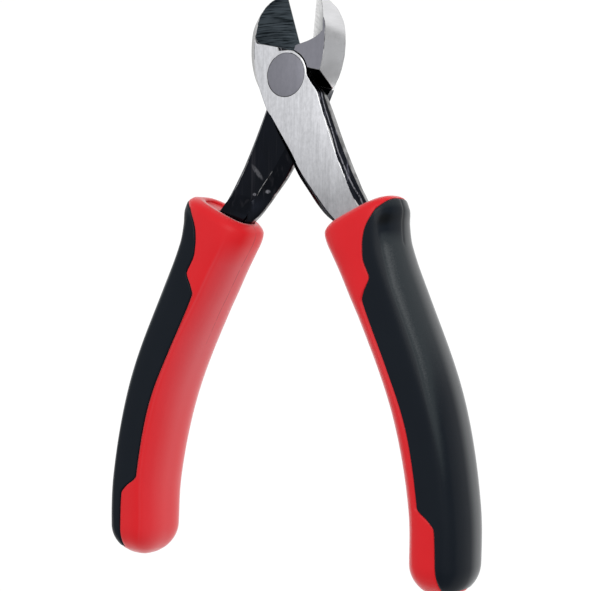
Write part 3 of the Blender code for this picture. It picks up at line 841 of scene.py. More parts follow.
def turned(profile):
    """Points and faces of a profile of (radius, z) turned about Z, capped flat at both ends."""
    turns = np.linspace(0, 2 * math.pi, TURNED_SIDES, endpoint=False)
    points = [(r * math.cos(t), r * math.sin(t), z) for r, z in profile for t in turns]
    last = (len(profile) - 1) * TURNED_SIDES
    caps = [tuple(range(TURNED_SIDES)), tuple(last + k for k in range(TURNED_SIDES))]
    return points, tube_faces(len(profile), TURNED_SIDES) + caps


def block(plan, floor, ceiling):
    """A block over a plan of corners. Floor and ceiling give the place of a corner from its x and y."""
    points = [floor(x, y) for x, y in plan] + [ceiling(x, y) for x, y in plan]
    count = len(plan)
    return points, [tuple(range(count)), tuple(range(count, 2 * count))] + tube_faces(2, count)


print("a turned cutter:", len(turned([(1.0, 0.0), (1.0, 1.0)])[1]), "faces")

# %% [markdown]
# The lap is milled between two drafted ramps, one on the tang and one at the jaw. The stop has the slope of
# the jaw's ramp, because at full opening one lever's ramp stands against the other's, with a hair of room.
# A step with upright walls would be simpler to draw, but the shoulders of a forged lever lean.

# %% The lap and the stop
LAP = 0.05
RAMP_FOOT_Y = -1.2
RAMP_TOP_Y = 3.0
RAMP_SLOPE = (RAMP_TOP_Y - RAMP_FOOT_Y) / HEAD_HALF
TANG_RAMP = [(-34.0, 0.05), (-40.0, -2.9)]
EXTRA_OPEN = math.radians(hinge["range_deg"][1])
STOP_SLACK = math.radians(0.8)
STOP_FROM_Z = -0.6
RIVET_SHANK_R = 4.0
FAR = 30.0
PAST = 2.5
OVER = HEAD_HALF + PAST


def lap_cut():
    """Takes half of the head, from the ramp on the tang to the ramp at the jaw."""
    run = (TANG_RAMP[1][0] - TANG_RAMP[0][0]) / (TANG_RAMP[0][1] - TANG_RAMP[1][1])

    def between_ramps(z):
        tang_end = TANG_RAMP[0][0] + run * (LAP - z)
        jaw_end = RAMP_FOOT_Y - RAMP_SLOPE * z
        return lambda x, y: (x, jaw_end if y > 0 else tang_end, z)

    plan = [(-FAR, -FAR), (FAR, -FAR), (FAR, FAR), (-FAR, FAR)]
    return block(plan, between_ramps(LAP), between_ramps(-OVER))


def stop_cut():
    """Room for the other lever's ramp as it stands at full opening, and a little past it."""
    limit = -(2 * HALF_OPEN + EXTRA_OPEN + STOP_SLACK)
    c, s = math.cos(limit), math.sin(limit)

    def swept(z):
        foot = RAMP_FOOT_Y + RAMP_SLOPE * z

        def corner(x, y):
            y = max(y, foot)
            return (x * c - y * s, x * s + y * c, z)

        return corner

    plan = [(RIVET_SHANK_R, -FAR), (FAR, -FAR), (FAR, FAR), (RIVET_SHANK_R, FAR)]
    return block(plan, swept(STOP_FROM_Z), swept(OVER))


print("ramps lean, degrees:", round(math.degrees(math.atan(RAMP_SLOPE)), 1))

# %% [markdown]
# The jaws are ground from both sides. In front a bevel runs down to the cutting edge, which climbs toward
# the tip, and its wall is a curve that differs between the two jaws. Behind, the jaw is thinned toward the
# tip and relieved to a narrow land. The rivet hole is countersunk at both ends, so that the rivet can fill
# it.

# %% The jaw cuts and the rivet hole
EDGE_ROOT = (9.9, -4.05)
EDGE_TIP = (22.6, -1.6)
EDGE_LAND = 0.12
RELIEF_WIDE = 6.0
BEVEL_SLOPE = {FRONT: 1.15, REAR: 1.03}
BEVEL_NOTCH = [(1.0, 6.3), (-1.1, 6.72)]
BEVEL_WALL = {FRONT: [(-1.35, 7.9), (-4.6, 9.35), (-6.9, 10.3), (-7.4, 10.75), (-7.65, 11.6), (-8.3, 18.0),
                      (-9.0, 24.0)],
              REAR: [(-1.35, 8.1), (-4.2, 9.5), (-5.7, 10.35), (-7.1, 11.35), (-8.2, 12.6), (-9.0, 14.6),
                     (-9.8, 24.0)]}
BEVEL_STEPS = 6
BACK_START_Y = 8.0
BACK_SLOPE = 0.194
RIVET_HEAD_R = 5.75
RIVET_LAND_Z = HEAD_HALF - 0.7
RIVET_CONE_Z = RIVET_LAND_Z - 2.4
RIVET_FIT = 0.06


def edge_z(y):
    """Height of the cutting edge, which climbs toward the tip."""
    t = (y - EDGE_ROOT[0]) / (EDGE_TIP[0] - EDGE_ROOT[0])
    return EDGE_ROOT[1] + t * (EDGE_TIP[1] - EDGE_ROOT[1])


def bevel_z(x, y, side):
    return edge_z(y) - BEVEL_SLOPE[side] * x


def bevel_cut(side):
    wall = BEVEL_WALL[side]
    plan = [*BEVEL_NOTCH, *through(wall, BEVEL_STEPS), (wall[-1][0], FAR), (BEVEL_NOTCH[0][0], FAR)]
    points, faces = block(plan, lambda x, y: (x, y, bevel_z(x, y, side)), lambda x, y: (x, y, FAR))
    # The walls come before the floor and ceiling, since the order decides how the solver splits the faces
    return points, faces[2:] + faces[:2]


def thinning_cut():
    """Thins the jaw from behind toward its tip."""
    plan = [(-FAR, BACK_START_Y), (DISC_R, BACK_START_Y), (DISC_R, FAR), (-FAR, FAR)]
    return block(plan, lambda x, y: (x, y, BACK_SLOPE * (y - BACK_START_Y) - HEAD_HALF),
                 lambda x, y: (x, y, -FAR))


def relief_cut():
    """Leaves a narrow land behind the cutting edge."""
    plan = [(PAST, 0.0), (-RELIEF_WIDE, 0.0), (-RELIEF_WIDE, FAR), (PAST, FAR)]
    return block(plan, lambda x, y: (x, y, edge_z(y) - EDGE_LAND + x), lambda x, y: (x, y, -FAR))


def rivet_hole():
    head = RIVET_HEAD_R + RIVET_FIT
    shank = RIVET_SHANK_R + RIVET_FIT
    upper = [(head, OVER), (head, RIVET_LAND_Z), (shank, RIVET_CONE_Z)]
    return turned(upper + [(r, -z) for r, z in reversed(upper)])


print("cutting edge rises from", EDGE_ROOT[1], "to", EDGE_TIP[1], "mm")

# %% [markdown]
# Booleans take the cuts from the blank one after another. Steps modelled by hand would have neater quads,
# but the cuts meet each other in curves that a Boolean finds by itself. The exact solver is kept, because
# the lap and the round seat end in the same plane. The evaluated mesh is then kept as a plain one.

# %% Carving the levers
RECESS_R = DISC_R + 0.35
NECK_R = DISC_R + 0.15


def cut(target, cutter):
    mod = target.modifiers.new(cutter.name, 'BOOLEAN')
    mod.operation = 'DIFFERENCE'
    mod.solver = 'EXACT'
    mod.object = cutter


def flipped(name, shape, flip):
    points, faces = shape
    return show(name, outward_faces(new_mesh(name, np.array(points) * flip, faces)))


def baked(obj, spare=()):
    """The object's evaluated mesh as a plain one; the object and its spares are removed."""
    mesh = bpy.data.meshes.new_from_object(obj.evaluated_get(bpy.context.evaluated_depsgraph_get()))
    for old in (obj, *spare):
        bpy.data.objects.remove(old, do_unlink=True)
    return mesh


def carved_lever(side):
    """The rear lever is the front one turned over, but both jaws are cut from the same side."""
    over = (side, 1, side)
    across = (side, 1, 1)
    neck = turned([(NECK_R, OVER + PAST), (NECK_R, -PAST)])
    cuts = [(lap_cut(), over, None), (turned([(RECESS_R, LAP), (RECESS_R, -OVER)]), over, None),
            (stop_cut(), over, neck), (bevel_cut(side), across, None), (thinning_cut(), across, None),
            (relief_cut(), across, None), (rivet_hole(), over, None)]
    blank = flipped('blank', lever_blank(side), over)
    tools = []
    for shape, flip, spared in cuts:
        tool = flipped('tool', shape, flip)
        tools.append(tool)
        if spared:
            keeper = flipped('spared', spared, flip)
            cut(tool, keeper)
            tools.append(keeper)
        cut(blank, tool)
    return baked(blank, tools)


carved = {side: carved_lever(side) for side in (FRONT, REAR)}
print("carved levers:", [len(mesh.polygons) for mesh in carved.values()], "faces")

# %% [markdown]
# Now each face is given the finish of the place where it is: ground flat, bevel, polished wall, plain flat,
# trimmed side or black oxide. Faces could be picked by hand, but the drawing already says where each
# surface lies, so a function works it out from the face's middle and normal, and still does when a size
# changes.

# %% Finishes by place
GROUND, BEVEL, WALL, FLAT, BLACK, WORN, BRIGHT, TRIM = range(8)
LEVEL = 0.97
NEAR_LEVEL = 0.8
STEEP = 0.6
GROUND_DEPTH = 0.7
EDGE_BLACK_FROM_Y = 1.0
SIDES_BLACK_FROM_Y = -5.5
FLAT_BELOW_Z = -2.0
# The bevel: where it starts, how near to its plane a face lies, how far the face looks up
BEVEL_FROM_Y = 6.0
BEVEL_NEAR = 0.08
BEVEL_UP = 0.4
# The rim of the pivot disc that faces the jaw
RIM_UP = 0.3
RIM_FROM_Z = 4.6
RIM_NEAR = 0.02
RIM_LEAN = 0.6
RIM_FROM_Y = 2.0
# The polished walls: round the outside of the jaw, and at its tip
WALL_TO_Y = {FRONT: -5.5, REAR: -1.4}
WALL_TO_X = -4.0
WALL_OUT = -0.25
WALL_AHEAD = 0.5
TIP_FROM_Y = 9.0
TIP_X = (-6.1, 1.0)


def place_of(point, normal, side):
    """Which finish a face of a lever has, from its middle and normal in the closed drawing."""
    x, y, z = point[0] * side, point[1], point[2] * side
    up = normal[2] * side
    out = normal[0] * side
    inner, outer, face = tang_at(y)
    belt = monotone(FORMS[side][0], 1, max(-y, TANG[0][0]))
    outside = x > (inner + outer) / 2
    on_bevel = abs(point[2] - bevel_z(x, y, side)) < BEVEL_NEAR and normal[2] > BEVEL_UP
    on_rim = RIM_UP < up < LEVEL and z > RIM_FROM_Z and math.hypot(x, y) < DISC_R + RIM_NEAR
    beyond_belt = z < belt and outside if side == FRONT else z > belt and not outside
    if y > BEVEL_FROM_Y and on_bevel:
        return BEVEL
    if on_rim and x * RIM_LEAN + y > RIM_FROM_Y:
        return BRIGHT
    if up > (NEAR_LEVEL if y > EDGE_BLACK_FROM_Y else LEVEL) and z > face - GROUND_DEPTH:
        return GROUND
    if up < -NEAR_LEVEL and z < FLAT_BELOW_Z and y > 0:
        return FLAT
    if y > WALL_TO_Y[side] and x < WALL_TO_X and (out < WALL_OUT or normal[1] > WALL_AHEAD):
        return WALL
    if y > TIP_FROM_Y and TIP_X[0] < x < TIP_X[1] and abs(up) < NEAR_LEVEL:
        return WALL
    if y < SIDES_BLACK_FROM_Y and abs(up) < STEEP and beyond_belt:
        return TRIM
    return BLACK


probe = place_of((5.0, -20.0, HEAD_HALF), (0.0, 0.0, 1.0), FRONT)
print("the middle of the tang is ground:", probe == GROUND)

# %% [markdown]
# The sharp edges are bevelled last, because a narrow bevel catches the light the way a real machined edge
# does, and its faces take the worn finish. A Bevel modifier limited by angle would take every sharp edge.
# Here an edge is left alone where the faces beside it have no room, on the cutting land and in the throat.
# Slivers are dissolved before and after, so that the mesh stays closed.

# %% Bevelled edges
WELD = 0.004
SLIVER = 0.002
SLIVER_AFTER = 0.003
SAME_PLANE = math.radians(0.4)
EDGE_WIDTH = 0.09
EDGE_PROFILE = 0.6
SHARP = math.radians(28)
LAND_X = 0.06
THROAT_HALF = 2.6
THROAT_Y = (3.0, 9.0)
BEVEL_ROOM = 0.2
BEVEL_SHORTEST = 0.05


def roomy(edge):
    """Whether the faces beside an edge leave room for a bevel. The cutting land and throat have none."""
    start, end = (v.co for v in edge.verts)
    along = (end - start).normalized()
    land = all(abs(v.co.x) < LAND_X for v in edge.verts)
    throat = all(abs(v.co.x) < THROAT_HALF and THROAT_Y[0] < v.co.y < THROAT_Y[1] for v in edge.verts)
    if (end - start).length < BEVEL_SHORTEST or land or throat:
        return False
    reach = [max((v.co - start).cross(along).length for v in face.verts) for face in edge.link_faces]
    return min(reach) > BEVEL_ROOM


def without_slivers(work):
    bmesh.ops.remove_doubles(work, verts=work.verts, dist=WELD)
    bmesh.ops.dissolve_degenerate(work, dist=SLIVER, edges=work.edges)
    bmesh.ops.dissolve_limit(work, angle_limit=SAME_PLANE, verts=work.verts, edges=work.edges)
    work.normal_update()


def bevel_edges(work):
    """Bevel each sharp edge that has room, then drop slivers and faces that hang on by one edge."""
    sharp = [e for e in work.edges if e.is_manifold and e.calc_face_angle(0.0) > SHARP and roomy(e)]
    bmesh.ops.bevel(work, geom=sharp, offset=EDGE_WIDTH, offset_type='OFFSET', segments=2,
                    profile=EDGE_PROFILE, affect='EDGES', clamp_overlap=False, material=WORN,
                    loop_slide=True)
    bmesh.ops.triangulate(work, faces=[f for f in work.faces if len(f.verts) > 4])
    bmesh.ops.dissolve_degenerate(work, dist=SLIVER_AFTER, edges=work.edges)
    loose = [f for f in work.faces if any(e.is_boundary for e in f.edges)]
    bmesh.ops.delete(work, geom=loose, context='FACES')


print("bevel, mm:", EDGE_WIDTH, "on edges sharper than", round(math.degrees(SHARP)), "degrees")

# %% [markdown]
# A lever is dressed in one pass over its mesh: finishes, bevels, the drop and inward distances that the
# finishes read, and smooth shading that breaks at the corners. Where the finishes have no ragged line, the
# distances are set so large that none is drawn. Only then is the mesh turned to its place at rest.

# %% The dressed levers
SMOOTH_BELOW = math.radians(40)
WORN_TO_Y = -33.5
UNGROUND = 9.0


def mark_distances(work, side):
    """Each point's drop below the flat of the tang, and its distance inward from the outer side."""
    drop = work.verts.layers.float.new('drop')
    inward = work.verts.layers.float.new('inward')
    for v in work.verts:
        inner, outer, face = tang_at(v.co.y)
        ground_over = v.co.x * side > (inner + outer) / 2 or v.co.y > SIDES_BLACK_FROM_Y
        v[drop] = face - v.co.z * side if ground_over else UNGROUND
        v[inward] = outer - v.co.x * side if v.co.y < SIDES_BLACK_FROM_Y else UNGROUND


def dressed_lever(name, side, finishes):
    mesh = carved[side]
    work = bmesh.new()
    work.from_mesh(mesh)
    without_slivers(work)
    for face in work.faces:
        face.material_index = place_of(face.calc_center_median(), face.normal, side)
    bevel_edges(work)
    mark_distances(work, side)
    for face in work.faces:
        face.smooth = True
        if face.material_index == WORN and face.calc_center_median().y < WORN_TO_Y:
            face.material_index = BLACK
    for edge in work.edges:
        one_finish = len({face.material_index == WORN for face in edge.link_faces}) == 1
        edge.smooth = one_finish and edge.calc_face_angle(0.0) < SMOOTH_BELOW
    print(name, len(work.faces), "faces,", sum(not e.is_manifold for e in work.edges), "open edges")
    work.to_mesh(mesh)
    work.free()
    for mat in finishes:
        mesh.materials.append(mat)
    mesh.transform(at_rest(side))
    return show(name, mesh)


shared = [worn, disc_edge, trimmed]
front_lever = dressed_lever('front_lever_steel', FRONT,
                            [front_face, front_bevel, front_wall, front_flat, front_black, *shared])
rear_lever = dressed_lever('rear_lever_steel', REAR,
                           [rear_face, rear_bevel, rear_wall, rear_flat, rear_black, *shared])

# %% [markdown]
# The rivet is turned from bar and hammered flush: a straight shank between two countersunk heads. A
# cylinder would do for its face, but its outline is turned about the pivot, with a small round on each rim,
# so that a fine dark ring shows between it and the flat.

# %% The rivet
RIVET_RIM = 0.12
RIVET_RIM_TURNS = np.radians([0, 30, 60, 90])
RIVET_SHARP = math.radians(32)

rim = [(RIVET_HEAD_R - RIVET_RIM * (1 - math.sin(a)), HEAD_HALF - RIVET_RIM * (1 - math.cos(a)))
       for a in RIVET_RIM_TURNS]
upper = rim + [(RIVET_HEAD_R, RIVET_LAND_Z), (RIVET_SHANK_R, RIVET_CONE_Z)]
outline = upper + [(r, -z) for r, z in reversed(upper)]
rivet_mesh = outward_faces(new_mesh('rivet', *turned(outline)))
rivet_mesh.shade_smooth()
rivet_mesh.set_sharp_from_angle(angle=RIVET_SHARP)
rivet_mesh.materials.append(rivet_steel)
rivet_mesh.transform(at_rest(REAR))
rivet = show('rivet_turned', rivet_mesh)
print("rivet:", len(rivet_mesh.polygons), "faces")

# %% [markdown]
# A grip is a moulded sleeve. Its section is a squarish oval that swells and shrinks along a curved centre
# line. The line is drawn through six points, and each point of the finished line carries three half sizes
# of the section: inward, outward and through. The node tree in the next step reads them from there.

# %% The centre line of a grip
GRIP_AXIS = [(12.2, -39.6), (13.2, -43.7), (18.4, -65.25), (23.5, -91.9), (23.6, -117.5), (19.6, -139.8)]
AXIS_STEPS = 60
# Distance from the mouth, then the half sizes inward, outward and through
GRIP_HALF = [(0.0, 7.8, 10.2, 6.0), (0.7, 9.1, 11.7, 7.0), (2.0, 9.9, 12.6, 7.8), (4.5, 10.1, 12.4, 8.1),
             (8.0, 9.8, 10.6, 8.3), (13.0, 9.4, 8.8, 8.5), (20.0, 9.1, 8.1, 8.8), (27.0, 8.6, 8.0, 9.0),
             (54.0, 8.0, 7.7, 9.58), (80.0, 7.8, 7.3, 9.48), (98.0, 8.2, 7.3, 9.05), (103.0, 8.2, 7.3, 9.0)]

axis_points = through(GRIP_AXIS, AXIS_STEPS)
axis_far = np.concatenate([[0.0], np.cumsum(np.linalg.norm(np.diff(axis_points, axis=0), axis=1))])
axis_edges = [(k, k + 1) for k in range(len(axis_points) - 1)]
axis_mesh = bpy.data.meshes.new('grip_axis')
axis_mesh.from_pydata([(x, y, 0.0) for x, y in axis_points], axis_edges, [])
half_sizes = np.stack([monotone(GRIP_HALF, k, axis_far) for k in (1, 2, 3)], axis=1)
axis_mesh.attributes.new('half', 'FLOAT_VECTOR', 'POINT').data.foreach_set('vector', half_sizes.ravel())
axis_line = show('grip_axis', axis_mesh)
print("centre line:", len(axis_points), "points,", round(axis_far[-1], 1), "mm")

# %% [markdown]
# The skin of a grip follows a rule: go some distance along the line, turn some angle from the outer spine,
# and step out by the half size that the line carries there. A node tree does this wrapping. Its input is a
# flat pattern whose X is distance, Y is angle and Z is height over the skin, so one tree can wrap the red
# and the rubber of both grips.

# %% The wrapping tree
wrap = bpy.data.node_groups.new('wrap_along_axis', 'GeometryNodeTree')
wrap.interface.new_socket('Geometry', in_out='OUTPUT', socket_type='NodeSocketGeometry')
wrap.interface.new_socket('Geometry', in_out='INPUT', socket_type='NodeSocketGeometry')
wrap_inputs = {}
for label, kind in (('Axis', 'Object'), ('Side', 'Float'), ('Power', 'Float'), ('Length', 'Float'),
                    ('Tip Round', 'Float'), ('Finish', 'Material')):
    made = wrap.interface.new_socket(label, in_out='INPUT', socket_type='NodeSocket' + kind)
    wrap_inputs[label] = made.identifier

sheet = Sheet(wrap)
given = {label: sheet.node('NodeGroupInput', {}, {}, out=label) for label in ('Geometry', *wrap_inputs)}
distance, angle, grow = sheet.node('GeometryNodeInputPosition', {}, {}).parts()
line = sheet.node('GeometryNodeObjectInfo', {}, {'Object': given['Axis']}, out='Geometry')
line = sheet.node('GeometryNodeMeshToCurve', {}, {'Mesh': line})
half = sheet.node('GeometryNodeInputNamedAttribute', {'data_type': 'FLOAT_VECTOR'}, {'Name': 'half'})
sample = sheet.node('GeometryNodeSampleCurve', {'mode': 'LENGTH', 'data_type': 'FLOAT_VECTOR'},
                    {'Curves': line, 'Value': half, 'Length': distance}).socket.node
inner, outer, thick = Sock(sheet, sample.outputs['Value']).parts()
x, y, _ = Sock(sheet, sample.outputs['Position']).parts()
along_x, along_y, _ = Sock(sheet, sample.outputs['Tangent']).parts()

into_tip = ((distance - given['Length']) / given['Tip Round'] + 1.0).math('MAXIMUM', 0.0)
shrink = (1.0 - into_tip * into_tip).math('MAXIMUM', 0.0) ** 0.5
cosine = angle.math('COSINE')
sine = angle.math('SINE')
bend = 2.0 / given['Power']
outside = cosine > 0.0
side_half = (outside * outer + (1.0 - outside) * inner) * shrink + grow
step_out = side_half * cosine.math('SIGN') * cosine.math('ABSOLUTE') ** bend
height = (thick * shrink + grow) * sine.math('SIGN') * sine.math('ABSOLUTE') ** bend
spot = sheet.node('ShaderNodeCombineXYZ', {}, {0: (x - along_y * step_out) * given['Side'],
                                               1: y + along_x * step_out, 2: height})
shape = sheet.node('GeometryNodeSetPosition', {}, {'Geometry': given['Geometry'], 'Position': spot})
shape = sheet.node('GeometryNodeRealizeInstances', {}, {0: shape})
shape = sheet.node('GeometryNodeSetMaterial', {}, {'Geometry': shape, 'Material': given['Finish']})
sheet.node('NodeGroupOutput', {}, {0: shape})
print("wrapping tree:", len(wrap.nodes), "nodes, inputs", list(wrap_inputs))

# %% [markdown]
# To use the tree, a flat pattern becomes an object with the tree as its modifier. The inputs are set by
# their identifiers, and the evaluated result is kept as a plain mesh. Each pattern brings a tone for every
# point, which stays on the mesh as an attribute for its finish.

# %% Wrapping a pattern
GRIP_LENGTH = 101.4
GRIP_POWER = 3.0
TIP_ROUND = 8.5


def wrapped(name, pattern, faces, tones, side, mat):
    """The tree's result for a flat pattern, as a plain mesh with its faces outward."""
    obj = show(name, new_mesh(name, pattern, faces))
    obj.data.attributes.new('tone', 'FLOAT', 'POINT').data.foreach_set('value', tones)
    mod = obj.modifiers.new('wrap', 'NODES')
    mod.node_group = wrap
    values = {'Axis': axis_line, 'Side': float(side), 'Power': GRIP_POWER, 'Length': GRIP_LENGTH,
              'Tip Round': TIP_ROUND, 'Finish': mat}
    for label, value in values.items():
        mod[wrap_inputs[label]] = value
    return outward_faces(baked(obj))


print("grip length, mm:", GRIP_LENGTH, "of", round(axis_far[-1], 1))

# %% [markdown]
# The two colours of the grip are moulded in two shots. The red core comes first, with a sunk seat for the
# second. The dark rubber then fills the seat and stands a hair above the red. Both have a small round where
# they meet, which shows as a fine dark line. The line itself is a table: how far off the centre line the
# edge of the rubber lies. A painted line would be easier, but it would have no edge to catch the light.

# %% The line between the colours
PAD_EDGE = [(0.0, 11.0), (2.4, 8.6), (3.4, 7.3), (4.7, 5.75), (6.8, 3.8), (10.4, 1.75), (14.5, 0.5),
            (18.2, 0.6), (21.3, -2.4), (23.2, -3.8), (26.0, -3.9), (42.0, -3.6), (60.0, -2.9),
            (78.0, -3.1), (81.7, 0.1), (83.7, 1.4), (93.0, 1.6), (103.0, 2.6)]
PAD_FROM = 2.4
PAD_TO = 99.2
PAD_LEAN = 0.7
LEAN_FADE = 8.0
EDGE_LIMIT = 0.97
TIP_LIMIT = 0.999


def tip_shrink(s):
    """How much of the section is left at a distance from the mouth, in the dome of the tip."""
    into = max(0.0, (s - GRIP_LENGTH) / TIP_ROUND + 1)
    return math.sqrt(1 - min(into, TIP_LIMIT) ** 2)


def offset_angle(s, offset, shrink=1.0):
    """Angle round the section at which it stands this far off the centre line."""
    half = monotone(GRIP_HALF, 2 if offset > 0 else 1, s) * shrink
    share = min(max(offset / half, -EDGE_LIMIT), EDGE_LIMIT)
    return math.acos(math.copysign(abs(share) ** (GRIP_POWER / 2), share))


def edge_angle(s, shift):
    """Angle of the line between the colours, moved outward by a shift."""
    return offset_angle(s, monotone(PAD_EDGE, 1, s) + shift, tip_shrink(s))


def lean(s, across):
    """The pad's top reaches higher at the spine than at its edges."""
    fade = min(s / PAD_FROM, 1 - (s - PAD_FROM) / LEAN_FADE)
    return s + PAD_LEAN * (2 * across ** 2 - 1) * max(fade, 0.0)


print("rubber spans, degrees:", [round(2 * math.degrees(edge_angle(s, 0.0))) for s in (5.0, 30.0, 90.0)])

# %% [markdown]
# The mould has a soft crease on each side of the front, where a flat front turns into a rounded side. One
# lies in the red and one in the rubber. A crease is a low ridge with straight flanks, and a column of the
# pattern follows its top, so that it stays crisp where a bump in the material would blur.

# %% The creases
RED_CREASE = [(0.0, -6.0), (8.0, -5.9), (15.0, -5.6), (22.0, -5.4), (31.0, -4.75), (39.0, -4.2),
              (60.0, -4.2), (76.0, -4.3), (90.0, -4.9), (103.0, -4.0)]
PAD_CREASE = [(0.0, 8.4), (11.0, 6.6), (16.0, 5.9), (24.0, 5.2), (40.0, 5.2), (55.0, 4.6), (70.0, 4.4),
              (82.0, 3.9), (93.0, 3.4), (103.0, 3.2)]
CREASE_HIGH = 0.3
FLANK_FRONT = 5.0
FLANK_SIDE = 3.0
# Where the crease grows and fades, from the mouth and from the tip
CREASE_GROWS = (1.0, 7.0)
CREASE_FADES = (11.0, 3.0)


def past_crease(table, s, angles):
    """How far points of the skin lie past a crease, toward the side."""
    cosines = np.cos(angles)
    inner, outer = (monotone(GRIP_HALF, k, s) for k in (1, 2))
    crease = monotone(table, 1, s)
    offset = np.sign(cosines) * np.abs(cosines) ** (2 / GRIP_POWER) * np.where(cosines > 0, outer, inner)
    return (offset - crease) * math.copysign(1, crease)


def crease_height(table, s, angles):
    past = past_crease(table, s, angles)
    ends = min(rise(s, *CREASE_GROWS), rise(GRIP_LENGTH - s, *reversed(CREASE_FADES)))
    flank = np.where(past > 0, past / FLANK_SIDE, -past / FLANK_FRONT)
    return CREASE_HIGH * ends * np.clip(1 - flank, 0, 1)


print("crease at mid grip, mm:", crease_height(PAD_CREASE, 50.0, np.radians([0.0, 30.0, 60.0])).round(2))

# %% [markdown]
# The core is drawn as rings. Each ring runs round the visible skin from one side of the line to the other,
# and back across the sunk seat, so that seat and skin are one closed surface. At the mouth the rings turn
# in as a lip, and at the tip they close in a dome. Every point has a tone of painted light as well: paler
# past the crease, a painted reflection on the turned-away side, and brightest on the crease itself, a
# painted highlight.

# %% The pattern of the red core
CORE_STEP = 0.6
FRONT_COLUMNS = 14
SIDE_COLUMNS = 36
SEAT_COLUMNS = 40
PAD_DEPTH = 2.0
SEAT_GAP = 0.3
SEAT_INSET = 0.02
# The round of the red at the line: distance back from it, and drop
RED_ROUND = [(-0.5, 0.0), (-0.25, -0.03), (-0.08, -0.1), (0.0, -0.25)]
# The mouth's lip, from the middle out: distance along, and how far in from the skin
MOUTH = [(0.9, -4.2), (0.75, -3.2), (0.3, -2.3), (0.05, -1.4), (0.0, -0.6)]
LIP_ROWS = (0.0, 0.15, 0.35, 0.6, 0.9, 1.2, PAD_FROM - 0.5)
TIP_TURNS = np.radians((63, 66, 69, 72, 75, 78, 81, 85, 88, 89.8))


def bell(x, middle, width):
    """A soft hump of height 1."""
    return np.exp(-((x - middle) / width) ** 2)


def red_painted_light(s, angles):
    """Painted light at a distance from the mouth, a paler reflection past the crease and a highlight on it:
    it comes in below the mouth and weakens toward the tip.
    """
    past = past_crease(RED_CREASE, s, angles)
    shown = min(rise(s, 4.0, 12.0), max(1 - rise(s, 35.0, 90.0), 0.45))
    paler = rise(past, 0.0, 5.0) * 0.8 + rise(past, 0.0, 0.8) * 0.2
    # Painted reflection past the crease, and a painted highlight on it
    return shown * (paler + 0.35 * bell(past, 0.0, 0.3))


def core_rows():
    """Each ring's distance from the mouth, its depth inside the mouth and the depth of its seat."""
    seat = PAD_DEPTH + SEAT_GAP
    rows = [(s, depth, 0.0) for s, depth in MOUTH] + [(s, 0.0, 0.0) for s in LIP_ROWS]
    rows += [(PAD_FROM + back, 0.0, -drop) for back, drop in RED_ROUND[1:]]
    rows += [(s, 0.0, seat) for s in (*np.arange(PAD_FROM, PAD_TO, CORE_STEP), PAD_TO)]
    rows += [(PAD_TO - back, 0.0, -drop) for back, drop in reversed(RED_ROUND)]
    return rows + [(GRIP_LENGTH - TIP_ROUND * (1 - math.sin(a)), 0.0, 0.0) for a in TIP_TURNS]


def core_pattern():
    rows = core_rows()
    points = []
    tones = []
    for s, in_mouth, deep in rows:
        outside = in_mouth == 0.0
        rims = [(edge_angle(s, back), drop if deep > 0 else 0.0) for back, drop in RED_ROUND]
        crease = offset_angle(s, monotone(RED_CREASE, 1, s))
        angles = [*np.linspace(rims[0][0], crease, FRONT_COLUMNS, endpoint=False),
                  *np.linspace(crease, math.pi, SIDE_COLUMNS, endpoint=False)]
        ridge = crease_height(RED_CREASE, s, angles) if outside else np.zeros(len(angles))
        half = [*reversed(rims[1:]), *zip(angles, ridge)]
        skin = half + [(math.pi, 0.0)] + [(2 * math.pi - a, up) for a, up in reversed(half)]
        top = lean(s, 1.0) if outside else s
        points += [(top, a, up + in_mouth) for a, up in skin]
        tones += [*red_painted_light(s, np.array([a for a, up in skin])), *np.zeros(SEAT_COLUMNS)]
        seat = edge_angle(s, SEAT_INSET)
        for a in np.linspace(-seat, seat, SEAT_COLUMNS):
            points.append((lean(s, a / seat) if outside else s, a, in_mouth - deep))
    around = len(points) // len(rows)
    last = (len(rows) - 1) * around
    caps = [tuple(range(around)), tuple(last + k for k in range(around))]
    return points, tube_faces(len(rows), around) + caps, tones


core_points, core_faces, core_tones = core_pattern()
print("core pattern:", len(core_points), "points,", len(core_faces), "faces")

# %% [markdown]
# The red is a smooth moulded plastic. A thin coat of low index gives its soft shine, and a little sheen the
# bloom of its turned-away sides. The tone of the points mixes in a paler red, a painted reflection and
# highlight. On the half toward the mouth a broken dark line runs along the middle of the side, where the
# halves of the mould met: a narrow step on the height draws it, and a noise breaks it.

# %% Red plastic
RED_DEEP = (0.74, 0.011, 0.017, 1)
RED_BRIGHT = (0.82, 0.015, 0.022, 1)
# Painted reflection and highlight: a paler, pinker red
RED_PAINTED_PALE = (0.7, 0.09, 0.105, 1)
RED_PARTING = (0.25, 0.01, 0.02, 1)
RED_CLOUDS = (70.0, 70.0, 70.0)
RED_GRAIN = (1500.0, 1500.0, 1500.0)
RED_GRAIN_DEPTH = 0.00004
PARTING_CELLS = (400.0, 400.0, 400.0)
PARTING_HALF = (0.00006, 0.00018)
PARTING_FADE_Y = (-0.08, -0.06)
PARTING_SHARE = 0.6


